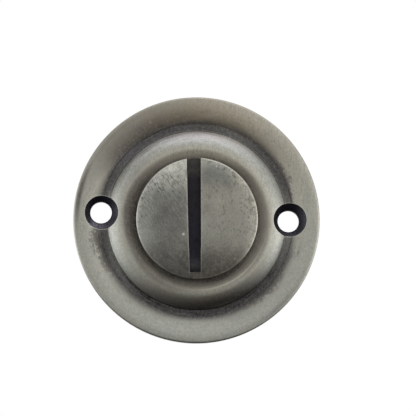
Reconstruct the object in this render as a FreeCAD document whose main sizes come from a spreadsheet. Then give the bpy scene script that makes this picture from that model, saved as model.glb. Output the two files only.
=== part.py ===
import FreeCAD, Part
import math
import os
import Sketcher

# Emergency release of a bathroom thumb turn lock: the half that sits on the outside of the door.
# A cast round rose is screwed to the door through two countersunk holes. A slotted release turns in
# its centre, and a wave washer, a thrust washer and a circlip hold the release from behind.
# The axis of turning is Y. The face looks along -Y, the door is at Y = 0 and +Z is up.
# A height below is a distance in front of the door, so it grows along -Y.

# Driving sizes, in millimetres and degrees
SIZES = (
    ("head_diameter", 24.6, "slotted head of the release, across"),
    ("head_thickness", 2.85, "from the seat of the head to its face"),
    ("head_edge", 0.3, "round on the rim of the face"),
    ("head_lift", 0.03, "play between the head and the floor of the recess"),
    ("slot_depth", 2.2, "coin slot, below the face"),
    ("slot_width_open", 2.8, "coin slot where it leaves the head"),
    ("slot_width_closed", 2.32, "coin slot at its closed end"),
    ("slot_reach", 10.8, "from the axis to the closed end"),
    ("slot_offset", 0.52, "centre line of the slot, left of the axis"),
    ("slot_runout", 3.2, "length over which the floor rises to the closed end"),
    ("rest_turn", 3.35, "how far the release stands turned, in degrees"),
    ("shank_diameter", 12.0, "bearing of the release"),
    ("shank_play", 0.05, "running clearance round the shank"),
    ("shank_chamfer", 0.3, "chamfer on the end of the shank"),
    ("end_collar", 0.7, "metal between the circlip groove and the end of the shank"),
    ("socket_width", 5.1, "square socket for a 5 mm spindle, across flats"),
    ("socket_depth", 4.5, "depth of the socket"),
    ("socket_chamfer", 0.3, "lead-in round the mouth of the socket"),
    ("recess_gap", 1.2, "open ring round the head"),
    ("recess_depth", 0.25, "depth of the recess that the head sits in"),
    ("recess_lip", 0.12, "round on the mouth of the recess"),
    ("recess_round", 0.1, "round between the recess's wall and its floor"),
    ("land_width", 0.95, "flat between the recess and the ovolo"),
    ("ovolo_radius", 4.29, "convex shoulder of the boss"),
    ("quirk_height", 0.4, "upright wall at the foot of the boss"),
    ("foot_radius", 0.15, "round between that wall and the valley"),
    ("flank_tilt", 52.0, "slope at which the shoulder meets the upright wall, in degrees"),
    ("valley_height", 3.5, "height of the flat bottom of the valley"),
    ("valley_width", 1.62, "flat between the foot of the boss and the flange"),
    ("dish_tilt", 20.0, "slope of the flange where it leaves the valley, in degrees"),
    ("flange_run", 4.2, "from the valley to the crest of the flange"),
    ("edge_run", 1.2, "from the crest to the outside of the rose"),
    ("edge_crown", 9.0, "radius of the flange outside the crest"),
    ("edge_round", 0.35, "round between the flange and the outside wall"),
    ("back_chamfer", 0.3, "chamfer at the back of the outside wall"),
    ("rim_wall", 2.0, "width of the ring that bears on the door"),
    ("relief_depth", 0.9, "relief cast into the back of the flange"),
    ("relief_round", 0.2, "rounds inside and outside the relief"),
    ("shell_wall", 2.3, "casting round the hollow of the boss"),
    ("hollow_corner", 1.0, "round inside the hollow of the boss"),
    ("web_thickness", 1.65, "casting between the recess and the hollow"),
    ("hub_wall", 3.0, "width of the bearing face round the bore"),
    ("hub_proud", 0.3, "bearing face, above the roof of the hollow"),
    ("bore_chamfer", 0.25, "chamfer where the bore meets the bearing face"),
    ("fixing_inset", 0.55, "fixing holes, inside the bottom of the valley"),
    ("fixing_rise", 0.7, "fixing holes, above the axis"),
    ("fixing_shift", 0.36, "middle between the fixing holes, left of the axis"),
    ("screw_bore", 4.4, "clearance for the screw"),
    ("screw_head", 6.7, "countersink, across"),
    ("screw_sink", 0.2, "mouth of the cone, below the valley"),
    ("screw_angle", 90.0, "countersink, included angle in degrees"),
    ("pad_wall", 1.1, "metal round the screw bore at the back"),
    ("wave_space", 0.8, "height left for the wave washer"),
    ("wave_thickness", 0.3, "strip of the wave washer"),
    ("wave_play", 0.02, "gap at each crest of the wave washer"),
    ("wave_width", 2.3, "radial width of the wave washer"),
    ("washer_play", 0.15, "radial gap round the shank in both washers"),
    ("thrust_thickness", 0.5, "thrust washer"),
    ("thrust_width", 3.3, "radial width of the thrust washer"),
    ("clip_thickness", 1.0, "circlip"),
    ("clip_side_play", 0.05, "play on each side of the circlip in its groove"),
    ("clip_seat_play", 0.02, "radial play on the floor of the groove"),
    ("groove_depth", 0.25, "depth of the circlip groove"),
    ("clip_width_back", 1.8, "circlip, width opposite its gap"),
    ("clip_width_front", 1.1, "circlip, width beside its gap"),
    ("clip_gap", 3.4, "opening between the ends of the circlip"),
    ("lug_radius", 1.45, "lugs of the circlip"),
    ("lug_hole", 1.5, "plier holes in the lugs, across"),
)

# Radii of the rose, from the axis outwards
HEAD_R = "(Sizes.head_diameter / 2)"
SHANK_R = "(Sizes.shank_diameter / 2)"
BORE_R = f"({SHANK_R} + Sizes.shank_play)"
HUB_R = f"({BORE_R} + Sizes.hub_wall)"
RECESS_R = f"({HEAD_R} + Sizes.recess_gap)"
LAND_R = f"({RECESS_R} + Sizes.land_width)"
FLANK_R = f"({LAND_R} + Sizes.ovolo_radius * sin(Sizes.flank_tilt * 1deg))"
FOOT_R = f"({FLANK_R} + Sizes.foot_radius)"
CREASE_R = f"({FOOT_R} + Sizes.valley_width)"
CREST_R = f"({CREASE_R} + Sizes.flange_run)"
RIM_R = f"({CREST_R} + Sizes.edge_run)"
HOLLOW_R = f"({FLANK_R} - Sizes.shell_wall)"
RELIEF_R = f"({RIM_R} - Sizes.rim_wall)"
FIXING_R = f"({CREASE_R} - Sizes.fixing_inset)"

# Heights of the rose in front of the door
FLANGE_RADIUS = "(Sizes.flange_run / sin(Sizes.dish_tilt * 1deg))"
CREST_H = f"(Sizes.valley_height + {FLANGE_RADIUS} * (1 - cos(Sizes.dish_tilt * 1deg)))"
EDGE_H = f"({CREST_H} - Sizes.edge_crown + sqrt(Sizes.edge_crown ^ 2 - Sizes.edge_run ^ 2))"
FLANK_H = "(Sizes.valley_height + Sizes.quirk_height)"
BOSS_H = f"({FLANK_H} + Sizes.ovolo_radius * (1 - cos(Sizes.flank_tilt * 1deg)))"
FLOOR_H = f"({BOSS_H} - Sizes.recess_depth)"
ROOF_H = f"({FLOOR_H} - Sizes.web_thickness)"
HUB_H = f"({ROOF_H} - Sizes.hub_proud)"
CONE_TOP_H = "(Sizes.valley_height - Sizes.screw_sink)"
CONE_DROP = "((Sizes.screw_head - Sizes.screw_bore) / 2 / tan(Sizes.screw_angle / 2 * 1deg))"

# Heights of what is stacked on the shank, from the hub back towards the door
THRUST_FRONT_H = f"({HUB_H} - Sizes.wave_space)"
THRUST_BACK_H = f"({THRUST_FRONT_H} - Sizes.thrust_thickness)"
GROOVE_WIDTH = "(Sizes.clip_thickness + 2 * Sizes.clip_side_play)"
GROOVE_BACK_H = f"({THRUST_BACK_H} - {GROOVE_WIDTH})"
CLIP_BACK_H = f"({GROOVE_BACK_H} + Sizes.clip_side_play)"
SHANK_END_H = f"({GROOVE_BACK_H} - Sizes.end_collar)"
SEAT_H = f"({FLOOR_H} + Sizes.head_lift)"
FACE_H = f"({SEAT_H} + Sizes.head_thickness)"
SLOT_FLOOR_H = f"({FACE_H} - Sizes.slot_depth)"

GROOVE_R = f"({SHANK_R} - Sizes.groove_depth)"
CLIP_R = f"({GROOVE_R} + Sizes.clip_seat_play)"
WASHER_R = f"({SHANK_R} + Sizes.washer_play)"

# How far a cut runs past the metal that it leaves, and the points that shape one wave of the spring
OVERRUN = 1.0
WAVES = 3
POINTS_IN_A_WAVE = 16

# Sketch planes whose second axis is height, so that their points are radius and height
RADIUS_HEIGHT = FreeCAD.Rotation(FreeCAD.Vector(1, 0, 0), 180)
OUTWARD = FreeCAD.Vector(0, -1, 0)
UPWARD = FreeCAD.Vector(0, 0, 1)
# Plane whose axes are height and Z, and plane whose axes are X and Z, which looks at the face
HEIGHT_AND_Z = FreeCAD.Rotation(OUTWARD, UPWARD, OUTWARD.cross(UPWARD), "XYZ")
X_AND_Z = FreeCAD.Rotation(FreeCAD.Vector(1, 0, 0), UPWARD, OUTWARD, "XYZ")

doc = FreeCAD.newDocument("emergency_release")


def make_sheet():
    """The spreadsheet of driving sizes: name, value and meaning, one row each."""
    sheet = doc.addObject("Spreadsheet::Sheet", "Sizes")
    for row, (name, value, meaning) in enumerate(SIZES, start=1):
        sheet.set(f"A{row}", name)
        sheet.set(f"B{row}", str(value))
        sheet.set(f"C{row}", meaning)
        sheet.setAlias(f"B{row}", name)
    doc.recompute()
    return sheet


sizes = make_sheet()


def value_of(expression):
    """What an expression on the sheet comes to, in millimetres or degrees."""
    return float(sizes.evalExpression(expression))


def make_body(label):
    body = doc.addObject("PartDesign::Body", label)
    body.Label = label
    return body


def origin_plane(body, role):
    """One of the three planes of a body's own origin, such as XY_Plane."""
    return next(item for item in body.Origin.OriginFeatures if item.Role == role)


def sketch_on(body, name, role, turned=FreeCAD.Rotation(), at=("0", "0", "0")):
    """A sketch on a plane of the body's origin, moved by three expressions in that plane's axes."""
    sketch = body.newObject("Sketcher::SketchObject", name)
    sketch.AttachmentSupport = [(origin_plane(body, role), "")]
    sketch.MapMode = "FlatFace"
    sketch.AttachmentOffset = FreeCAD.Placement(FreeCAD.Vector(), turned)
    for axis, expression in zip("xyz", at):
        sketch.setExpression(f"AttachmentOffset.Base.{axis}", expression)
    doc.recompute()
    return sketch


def bind(sketch, kind, *parts, to):
    """Adds a dimension and ties it to an expression. A negative distance is measured the other way."""
    size = value_of(to)
    if size < 0:
        first, second = parts[:2], parts[2:]
        parts, size, to = second + first, -size, f"-({to})"
    index = sketch.addConstraint(Sketcher.Constraint(kind, *parts, size))
    sketch.setExpression(f"Constraints[{index}]", to)


def pin_point(sketch, line, end, x, y):
    """Holds one end of a line or arc at two expressions, measured from the sketch's origin."""
    for kind, axis, expression in (("DistanceX", -2, x), ("DistanceY", -1, y)):
        if expression == "0":
            sketch.addConstraint(Sketcher.Constraint("PointOnObject", line, end, axis))
        else:
            bind(sketch, kind, -1, 1, line, end, to=expression)


def arc_through(start, end, radius, left):
    """The arc of that radius from start to end, and whether it runs anticlockwise from start.

    Its centre lies on the left or right of the way from start to end."""
    chord = end - start
    middle = (start + end) / 2
    away = math.sqrt(max(radius**2 - (chord.Length / 2) ** 2, 0.0))
    normal = FreeCAD.Vector(-chord.y, chord.x, 0).normalize()
    centre = middle + normal * (away if left else -away)
    first, last = (start, end) if left else (end, start)
    angles = [math.atan2(point.y - centre.y, point.x - centre.x) for point in (first, last)]
    circle = Part.Circle(centre, FreeCAD.Vector(0, 0, 1), radius)
    return Part.ArcOfCircle(circle, *angles), left


def draw_profile(sketch, corners):
    """A closed outline. Each corner is its two coordinates as expressions, and may add the radius of an
    arc to the next corner and the side of its centre, left or right of the way there."""
    points = [FreeCAD.Vector(value_of(c[0]), value_of(c[1]), 0) for c in corners]
    ends = []
    for i, corner in enumerate(corners):
        start, end = points[i], points[(i + 1) % len(points)]
        if len(corner) > 2:
            arc, forward = arc_through(start, end, value_of(corner[2]), corner[3] == "left")
            line = sketch.addGeometry(arc, False)
            ends.append((line, 1, 2) if forward else (line, 2, 1))
        else:
            line = sketch.addGeometry(Part.LineSegment(start, end), False)
            ends.append((line, 1, 2))
    for i, corner in enumerate(corners):
        line, start, end = ends[i]
        after, after_start, _ = ends[(i + 1) % len(ends)]
        sketch.addConstraint(Sketcher.Constraint("Coincident", line, end, after, after_start))
        pin_point(sketch, line, start, corner[0], corner[1])
        if len(corner) > 2:
            bind(sketch, "Radius", line, to=corner[2])
    doc.recompute()


def draw_circle(sketch, x, y, radius):
    """A circle whose centre and radius are expressions."""
    centre = FreeCAD.Vector(value_of(x), value_of(y), 0)
    circle = Part.Circle(centre, FreeCAD.Vector(0, 0, 1), value_of(radius))
    line = sketch.addGeometry(circle, False)
    pin_point(sketch, line, 3, x, y)
    bind(sketch, "Radius", line, to=radius)
    doc.recompute()


def turn(body, kind, name, sketch):
    """A full Revolution or Groove of a sketch about its own vertical axis."""
    feature = body.newObject(f"PartDesign::{kind}", name)
    feature.Profile = sketch
    feature.ReferenceAxis = (sketch, ["V_Axis"])
    feature.Angle = 360
    doc.recompute()
    return feature


def raise_from(body, kind, name, sketch, length, backwards=False):
    """A Pad or Pocket of a sketch, as long as an expression."""
    feature = body.newObject(f"PartDesign::{kind}", name)
    feature.Profile = sketch
    feature.setExpression("Length", length)
    feature.Reversed = backwards
    doc.recompute()
    return feature


def must_change(body, before, grows):
    """Stops the build if the last feature left the volume as it was or moved it the wrong way."""
    change = body.Shape.Volume - before
    if abs(change) < 1e-3 or (change > 0) != grows:
        raise RuntimeError(f"{body.Tip.Name} changed the volume by {change:.4f}")
    return body.Shape.Volume


def rim_edge(shape, radius, height):
    """The name of the circular edge round the axis with that radius and height."""
    for i, edge in enumerate(shape.Edges, start=1):
        curve = edge.Curve
        if isinstance(curve, Part.Circle) and abs(curve.Radius - radius) < 1e-4:
            if abs(-curve.Center.y - height) < 1e-4:
                return f"Edge{i}"
    raise RuntimeError(f"no edge of radius {radius:.3f} at height {height:.3f}")


def straight_edges(shape, height):
    """The names of the straight edges that lie wholly at that height."""
    return [
        f"Edge{i}"
        for i, edge in enumerate(shape.Edges, start=1)
        if isinstance(edge.Curve, Part.Line)
        and all(abs(-vertex.Y - height) < 1e-4 for vertex in edge.Vertexes)
    ]


def make_rose():
    """The cast rose: dished flange, valley and boss in front, relief, pads and hollow behind."""
    body = make_body("rose")
    section = sketch_on(body, "RoseSection", "XY_Plane", RADIUS_HEIGHT)
    draw_profile(
        section,
        (
            (f"{BORE_R} + Sizes.bore_chamfer", HUB_H),
            (BORE_R, f"{HUB_H} + Sizes.bore_chamfer"),
            (BORE_R, FLOOR_H),
            (f"{RECESS_R} - Sizes.recess_round", FLOOR_H, "Sizes.recess_round", "left"),
            (RECESS_R, f"{FLOOR_H} + Sizes.recess_round"),
            (RECESS_R, f"{BOSS_H} - Sizes.recess_lip", "Sizes.recess_lip", "right"),
            (f"{RECESS_R} + Sizes.recess_lip", BOSS_H),
            (LAND_R, BOSS_H, "Sizes.ovolo_radius", "right"),
            (FLANK_R, FLANK_H),
            (FLANK_R, "Sizes.valley_height + Sizes.foot_radius", "Sizes.foot_radius", "left"),
            (FOOT_R, "Sizes.valley_height"),
            (CREASE_R, "Sizes.valley_height", FLANGE_RADIUS, "right"),
            (CREST_R, CREST_H, "Sizes.edge_crown", "right"),
            (RIM_R, EDGE_H),
            (RIM_R, "Sizes.back_chamfer"),
            (f"{RIM_R} - Sizes.back_chamfer", "0"),
            (RELIEF_R, "0"),
            (RELIEF_R, "Sizes.relief_depth - Sizes.relief_round", "Sizes.relief_round", "left"),
            (f"{RELIEF_R} - Sizes.relief_round", "Sizes.relief_depth"),
            (f"{HOLLOW_R} + Sizes.relief_round", "Sizes.relief_depth", "Sizes.relief_round", "right"),
            (HOLLOW_R, "Sizes.relief_depth + Sizes.relief_round"),
            (HOLLOW_R, f"{ROOF_H} - Sizes.hollow_corner", "Sizes.hollow_corner", "left"),
            (f"{HOLLOW_R} - Sizes.hollow_corner", ROOF_H),
            (HUB_R, ROOF_H),
            (HUB_R, HUB_H),
        ),
    )
    casting = turn(body, "Revolution", "RoseCasting", section)
    volume = must_change(body, 0.0, grows=True)

    edge = rim_edge(casting.Shape, value_of(RIM_R), value_of(EDGE_H))
    fillet = body.newObject("PartDesign::Fillet", "FlangeEdge")
    fillet.Base = (casting, [edge])
    fillet.setExpression("Radius", "Sizes.edge_round")
    doc.recompute()
    volume = must_change(body, volume, grows=False)

    for side, fixing_x in (
        ("Left", f"-{FIXING_R} - Sizes.fixing_shift"),
        ("Right", f"{FIXING_R} - Sizes.fixing_shift"),
    ):
        pad_sketch = sketch_on(body, f"{side}PadOutline", "XZ_Plane")
        draw_circle(
            pad_sketch, fixing_x, "Sizes.fixing_rise", "Sizes.screw_bore / 2 + Sizes.pad_wall"
        )
        raise_from(body, "Pad", f"{side}ScrewPad", pad_sketch, f"{CONE_TOP_H} - {CONE_DROP}")
        volume = must_change(body, volume, grows=True)

        hole_sketch = sketch_on(
            body,
            f"{side}HoleSection",
            "XY_Plane",
            RADIUS_HEIGHT,
            (fixing_x, "0", "Sizes.fixing_rise"),
        )
        draw_profile(
            hole_sketch,
            (
                ("0", f"{-OVERRUN}"),
                ("Sizes.screw_bore / 2", f"{-OVERRUN}"),
                ("Sizes.screw_bore / 2", f"{CONE_TOP_H} - {CONE_DROP}"),
                ("Sizes.screw_head / 2", CONE_TOP_H),
                ("Sizes.screw_head / 2", f"{BOSS_H} + {OVERRUN}"),
                ("0", f"{BOSS_H} + {OVERRUN}"),
            ),
        )
        turn(body, "Groove", f"{side}ScrewHole", hole_sketch)
        volume = must_change(body, volume, grows=False)
    return body


def make_release_blank():
    """The release before its slot is cut: head, shank with a circlip groove, and square socket."""
    body = make_body("release_blank")
    section = sketch_on(body, "ReleaseSection", "XY_Plane", RADIUS_HEIGHT)
    draw_profile(
        section,
        (
            ("0", SHANK_END_H),
            (f"{SHANK_R} - Sizes.shank_chamfer", SHANK_END_H),
            (SHANK_R, f"{SHANK_END_H} + Sizes.shank_chamfer"),
            (SHANK_R, GROOVE_BACK_H),
            (GROOVE_R, GROOVE_BACK_H),
            (GROOVE_R, THRUST_BACK_H),
            (SHANK_R, THRUST_BACK_H),
            (SHANK_R, SEAT_H),
            (HEAD_R, SEAT_H),
            (HEAD_R, f"{FACE_H} - Sizes.head_edge", "Sizes.head_edge", "left"),
            (f"{HEAD_R} - Sizes.head_edge", FACE_H),
            ("0", FACE_H),
        ),
    )
    turn(body, "Revolution", "ReleaseTurning", section)
    volume = must_change(body, 0.0, grows=True)

    socket = sketch_on(body, "SocketOutline", "XZ_Plane", at=("0", "0", SHANK_END_H))
    half = "Sizes.socket_width / 2"
    draw_profile(
        socket,
        ((f"-{half}", f"-{half}"), (half, f"-{half}"), (half, half), (f"-{half}", half)),
    )
    pocket = raise_from(
        body, "Pocket", "SpindleSocket", socket, "Sizes.socket_depth", backwards=True
    )
    volume = must_change(body, volume, grows=False)

    mouth = body.newObject("PartDesign::Chamfer", "SocketMouth")
    mouth.Base = (pocket, straight_edges(pocket.Shape, value_of(SHANK_END_H)))
    mouth.setExpression("Size", "Sizes.socket_chamfer")
    doc.recompute()
    must_change(body, volume, grows=False)
    return body


def loose_sketch(name, turned, outward="0"):
    """A sketch outside any body, for Part's own extrusions, moved outwards by an expression."""
    sketch = doc.addObject("Sketcher::SketchObject", name)
    sketch.Placement = FreeCAD.Placement(FreeCAD.Vector(), turned)
    sketch.setExpression("Placement.Base.y", f"-({outward})")
    doc.recompute()
    return sketch


def extrude(name, sketch, length, symmetric=False):
    """A solid extrusion of a loose sketch along its own normal."""
    feature = doc.addObject("Part::Extrusion", name)
    feature.Base = sketch
    feature.DirMode = "Normal"
    feature.Solid = True
    feature.Symmetric = symmetric
    feature.setExpression("LengthFwd", length)
    return feature


def make_slot_cutter():
    """What the coin slot takes away: a tapered plan met by a side view whose floor runs out."""
    plan = loose_sketch("SlotPlan", X_AND_Z, SLOT_FLOOR_H)
    top = f"{HEAD_R} + {OVERRUN}"
    open_half = "Sizes.slot_width_open / 2"
    closed_half = "Sizes.slot_width_closed / 2"
    draw_profile(
        plan,
        (
            (f"-Sizes.slot_offset - {closed_half}", "-Sizes.slot_reach"),
            (f"-Sizes.slot_offset + {closed_half}", "-Sizes.slot_reach"),
            (f"-Sizes.slot_offset + {open_half}", top),
            (f"-Sizes.slot_offset - {open_half}", top),
        ),
    )
    side = loose_sketch("SlotSide", HEIGHT_AND_Z)
    runout_radius = "(Sizes.slot_runout ^ 2 + Sizes.slot_depth ^ 2) / (2 * Sizes.slot_depth)"
    draw_profile(
        side,
        (
            (SLOT_FLOOR_H, top),
            (SLOT_FLOOR_H, "Sizes.slot_runout - Sizes.slot_reach", runout_radius, "left"),
            (FACE_H, "-Sizes.slot_reach"),
            (f"{FACE_H} + {OVERRUN}", "-Sizes.slot_reach"),
            (f"{FACE_H} + {OVERRUN}", top),
        ),
    )
    cutter = doc.addObject("Part::Common", "SlotCutter")
    cutter.Base = extrude("SlotPlanSolid", plan, f"Sizes.slot_depth + {OVERRUN}")
    cutter.Tool = extrude("SlotSideSolid", side, "Sizes.head_diameter", symmetric=True)
    doc.recompute()
    return cutter


def make_release():
    """The slotted release, turned a little from upright as it stands in the photograph."""
    release = doc.addObject("Part::Cut", "Release")
    release.Label = "release_turn"
    release.Base = make_release_blank()
    release.Tool = make_slot_cutter()
    release.Placement = FreeCAD.Placement(FreeCAD.Vector(), FreeCAD.Rotation(OUTWARD, 1))
    release.setExpression("Placement.Rotation.Angle", "Sizes.rest_turn * 1deg")
    doc.recompute()
    return release


def make_thrust_washer():
    """The plain washer that the circlip backs."""
    body = make_body("thrust_washer")
    outline = sketch_on(body, "ThrustOutline", "XZ_Plane", at=("0", "0", THRUST_BACK_H))
    draw_circle(outline, "0", "0", WASHER_R)
    draw_circle(outline, "0", "0", f"{WASHER_R} + Sizes.thrust_width")
    raise_from(body, "Pad", "ThrustPad", outline, "Sizes.thrust_thickness")
    return body


def make_circlip():
    """The external circlip: an eccentric ring, open at the bottom, with a plier hole in each lug."""
    body = make_body("circlip")
    at_groove = ("0", "0", CLIP_BACK_H)
    width_sum = "(Sizes.clip_width_back + Sizes.clip_width_front)"
    eccentric = "(Sizes.clip_width_back - Sizes.clip_width_front) / 2"
    ring = sketch_on(body, "ClipRing", "XZ_Plane", at=at_groove)
    draw_circle(ring, "0", "0", CLIP_R)
    draw_circle(ring, "0", eccentric, f"{CLIP_R} + {width_sum} / 2")
    raise_from(body, "Pad", "ClipPad", ring, "Sizes.clip_thickness")
    volume = must_change(body, 0.0, grows=True)

    lug_x = "(Sizes.clip_gap / 2 + Sizes.lug_radius)"
    lug_y = f"-sqrt(({CLIP_R} + Sizes.lug_radius) ^ 2 - {lug_x} ^ 2)"
    lug_sketch = sketch_on(body, "LugOutline", "XZ_Plane", at=at_groove)
    draw_circle(lug_sketch, lug_x, lug_y, "Sizes.lug_radius")
    lug = raise_from(body, "Pad", "ClipLug", lug_sketch, "Sizes.clip_thickness")
    volume = must_change(body, volume, grows=True)
    hole_sketch = sketch_on(body, "LugHole", "XZ_Plane", at=at_groove)
    draw_circle(hole_sketch, lug_x, lug_y, "Sizes.lug_hole / 2")
    hole = raise_from(body, "Pocket", "PlierHole", hole_sketch, "Sizes.clip_thickness", True)
    volume = must_change(body, volume, grows=False)

    mirror = body.newObject("PartDesign::Mirrored", "SecondLug")
    mirror.Originals = [lug, hole]
    mirror.MirrorPlane = (origin_plane(body, "YZ_Plane"), [""])
    body.Tip = mirror
    doc.recompute()
    volume = must_change(body, volume, grows=True)

    gap = sketch_on(body, "GapOutline", "XZ_Plane", at=at_groove)
    gap_end = f"-{CLIP_R} - 3 * Sizes.lug_radius"
    half = "Sizes.clip_gap / 2"
    draw_profile(
        gap, ((f"-{half}", gap_end), (half, gap_end), (half, "0"), (f"-{half}", "0"))
    )
    raise_from(body, "Pocket", "ClipGap", gap, "Sizes.clip_thickness", backwards=True)
    must_change(body, volume, grows=False)
    return body


def wave_curve(radius, lift, swing):
    """A closed curve round the axis whose height swings by a cosine, three times in one turn."""
    count = WAVES * POINTS_IN_A_WAVE
    points = []
    for i in range(count):
        angle = 2 * math.pi * i / count
        height = lift + swing * math.cos(WAVES * angle)
        points.append(FreeCAD.Vector(radius * math.cos(angle), -height, radius * math.sin(angle)))
    curve = Part.BSplineCurve()
    curve.interpolate(points, PeriodicFlag=True)
    return curve.toShape()


def make_wave_washer():
    """The spring that takes up play: a flat ring pressed into three waves, between hub and washer."""
    inner = value_of(WASHER_R)
    outer = inner + value_of("Sizes.wave_width")
    thickness = value_of("Sizes.wave_thickness")
    swing = value_of("(Sizes.wave_space - Sizes.wave_thickness) / 2 - Sizes.wave_play")
    loops = [
        wave_curve(radius, side * thickness / 2, swing)
        for radius, side in ((inner, 1), (outer, 1), (outer, -1), (inner, -1))
    ]
    faces = [
        Part.makeRuledSurface(loops[i], loops[(i + 1) % len(loops)]) for i in range(len(loops))
    ]
    solid = Part.Solid(Part.Shell(faces))
    if solid.Volume < 0:
        solid.reverse()
    washer = doc.addObject("Part::Feature", "WaveWasher")
    washer.Label = "wave_washer"
    washer.Shape = solid
    middle = value_of(f"{THRUST_FRONT_H} + Sizes.wave_space / 2")
    washer.Placement = FreeCAD.Placement(OUTWARD * middle, FreeCAD.Rotation())
    return washer


parts = (make_rose(), make_release(), make_wave_washer(), make_thrust_washer(), make_circlip())
doc.recompute()

for item in doc.Objects:
    if "Invalid" in item.State or "Error" in item.State:
        raise RuntimeError(f"{item.Label} failed: {item.State}")

os.makedirs("parts", exist_ok=True)
for part in parts:
    shape = part.Shape
    if shape.isNull() or not shape.isValid() or len(shape.Solids) != 1:
        raise RuntimeError(f"{part.Label} is not one valid solid")
for part in parts:
    part.Shape.exportStep(f"parts/{part.Label}.step")
    print(f"{part.Label}: {part.Shape.Volume:.1f} mm3")
print(f"rose {2 * value_of(RIM_R):.2f} across, face at {value_of(FACE_H):.2f}")
print(f"fixings {2 * value_of(FIXING_R):.2f} apart, shank ends at {value_of(SHANK_END_H):.2f}")
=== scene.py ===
import math

import bmesh
import bpy
import numpy as np
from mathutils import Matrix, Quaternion, Vector
from mathutils.geometry import delaunay_2d_cdt


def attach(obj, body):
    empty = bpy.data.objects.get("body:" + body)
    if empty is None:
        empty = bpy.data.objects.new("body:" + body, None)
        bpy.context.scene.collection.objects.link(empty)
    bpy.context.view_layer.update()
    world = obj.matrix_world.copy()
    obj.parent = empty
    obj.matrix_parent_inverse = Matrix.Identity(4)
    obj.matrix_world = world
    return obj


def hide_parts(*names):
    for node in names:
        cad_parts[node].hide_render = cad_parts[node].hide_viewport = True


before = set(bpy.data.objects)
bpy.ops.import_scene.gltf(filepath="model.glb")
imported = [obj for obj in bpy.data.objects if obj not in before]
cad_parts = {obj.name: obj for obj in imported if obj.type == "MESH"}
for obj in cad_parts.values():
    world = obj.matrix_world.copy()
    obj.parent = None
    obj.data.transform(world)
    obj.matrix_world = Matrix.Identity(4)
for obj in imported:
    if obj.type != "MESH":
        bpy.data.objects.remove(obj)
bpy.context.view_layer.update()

# An emergency release rose, as fixed on the outside of a bathroom door. The face looks along -Y.
# Meshes are worked out in millimetres from plan coordinates x and z and a height in front of the
# door, and stored in metres.


# Camera: nearly square to the face, a little from below and from the left, and rolled, so that the
# screw holes stand slightly askew in the picture.

camera = bpy.data.objects.new("camera", bpy.data.cameras.new("camera"))
bpy.context.collection.objects.link(camera)
bpy.context.scene.camera = camera

CAMERA_AWAY = 0.55
FRAME_WIDTH = 0.08500
FROM_BELOW = math.radians(4.05)
FROM_LEFT = math.radians(1.45)
ROLL = math.radians(2.60)
AIM_RIGHT = 0.00242
AIM_UP = 0.00269

back = Vector(
    (
        -math.sin(FROM_LEFT) * math.cos(FROM_BELOW),
        -math.cos(FROM_LEFT) * math.cos(FROM_BELOW),
        -math.sin(FROM_BELOW),
    )
)
turn = (-back).to_track_quat("-Z", "Y") @ Quaternion((0, 0, 1), ROLL)
camera.rotation_mode = "QUATERNION"
camera.rotation_quaternion = turn
camera.location = back * CAMERA_AWAY + turn @ Vector((AIM_RIGHT, AIM_UP, 0))
camera.data.lens = camera.data.sensor_width * CAMERA_AWAY / FRAME_WIDTH
camera.data.clip_start = 0.01
camera.data.clip_end = 20

# Studio: a pale floor and sky, and a round tent with four soft boxes that fade at their edges, the
# dark patch of the lens and a low fill behind the camera.


class Wire:
    """A shader socket with arithmetic. Each operator adds the node that does it."""

    def __init__(self, tree, socket):
        self.tree = tree
        self.socket = socket

    def node(self, kind, *inputs, output=0, **settings):
        """A new node with these settings. An input is a wire, a number, a colour, or None to leave
        it alone."""
        made = self.tree.nodes.new(kind)
        for name, value in settings.items():
            setattr(made, name, value)
        for socket, value in zip(made.inputs, inputs):
            if isinstance(value, Wire):
                self.tree.links.new(value.socket, socket)
            elif value is not None:
                socket.default_value = value
        return Wire(self.tree, made.outputs[output])

    def maths(self, operation, first, second):
        return self.node("ShaderNodeMath", first, second, operation=operation)

    def vector(self, operation, *others, output=0):
        """Vector maths with this as the first vector. Output 1 is a number."""
        return self.node("ShaderNodeVectorMath", self, *others, output=output, operation=operation)

    def __add__(self, other):
        return self.maths("ADD", self, other)

    __radd__ = __add__

    def __sub__(self, other):
        return self.maths("SUBTRACT", self, other)

    def __rsub__(self, other):
        return self.maths("SUBTRACT", other, self)

    def __mul__(self, other):
        return self.maths("MULTIPLY", self, other)

    __rmul__ = __mul__

    def most(self, other):
        return self.maths("MAXIMUM", self, other)

    def least(self, other):
        return self.maths("MINIMUM", self, other)

    def ramp(self, low, high):
        """0 at low, 1 at high and a smooth step between. low may be the larger of the two."""
        return self.node(
            "ShaderNodeMapRange", self, low, high, 0.0, 1.0, interpolation_type="SMOOTHSTEP"
        )

    def mix(self, first, second):
        """First colour where this is 0, second where it is 1."""
        made = self.tree.nodes.new("ShaderNodeMix")
        made.data_type = "RGBA"
        self.tree.links.new(self.socket, made.inputs["Factor"])
        for slot, value in (("A", first), ("B", second)):
            socket = next(s for s in made.inputs if s.name == slot and s.type == "RGBA")
            if isinstance(value, Wire):
                self.tree.links.new(value.socket, socket)
            else:
                socket.default_value = (*value, 1.0)
        return Wire(self.tree, next(s for s in made.outputs if s.type == "RGBA"))

    def noise(self, stretch, detail=2.0, rough=0.5, warp=0.0):
        """Noise over this vector, 0 to 1. Stretch is how many features fit in a millimetre, as one
        number or as one along each of x, y and z."""
        scaled = self.vector("MULTIPLY", stretch if np.ndim(stretch) else (stretch,) * 3)
        return self.node(
            "ShaderNodeTexNoise", scaled, None, 1.0, detail, rough, 2.0, None, None, warp
        )

    def feed(self, shader, name):
        """Links this to the shader's input of that name."""
        self.tree.links.new(self.socket, shader.inputs[name])


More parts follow.
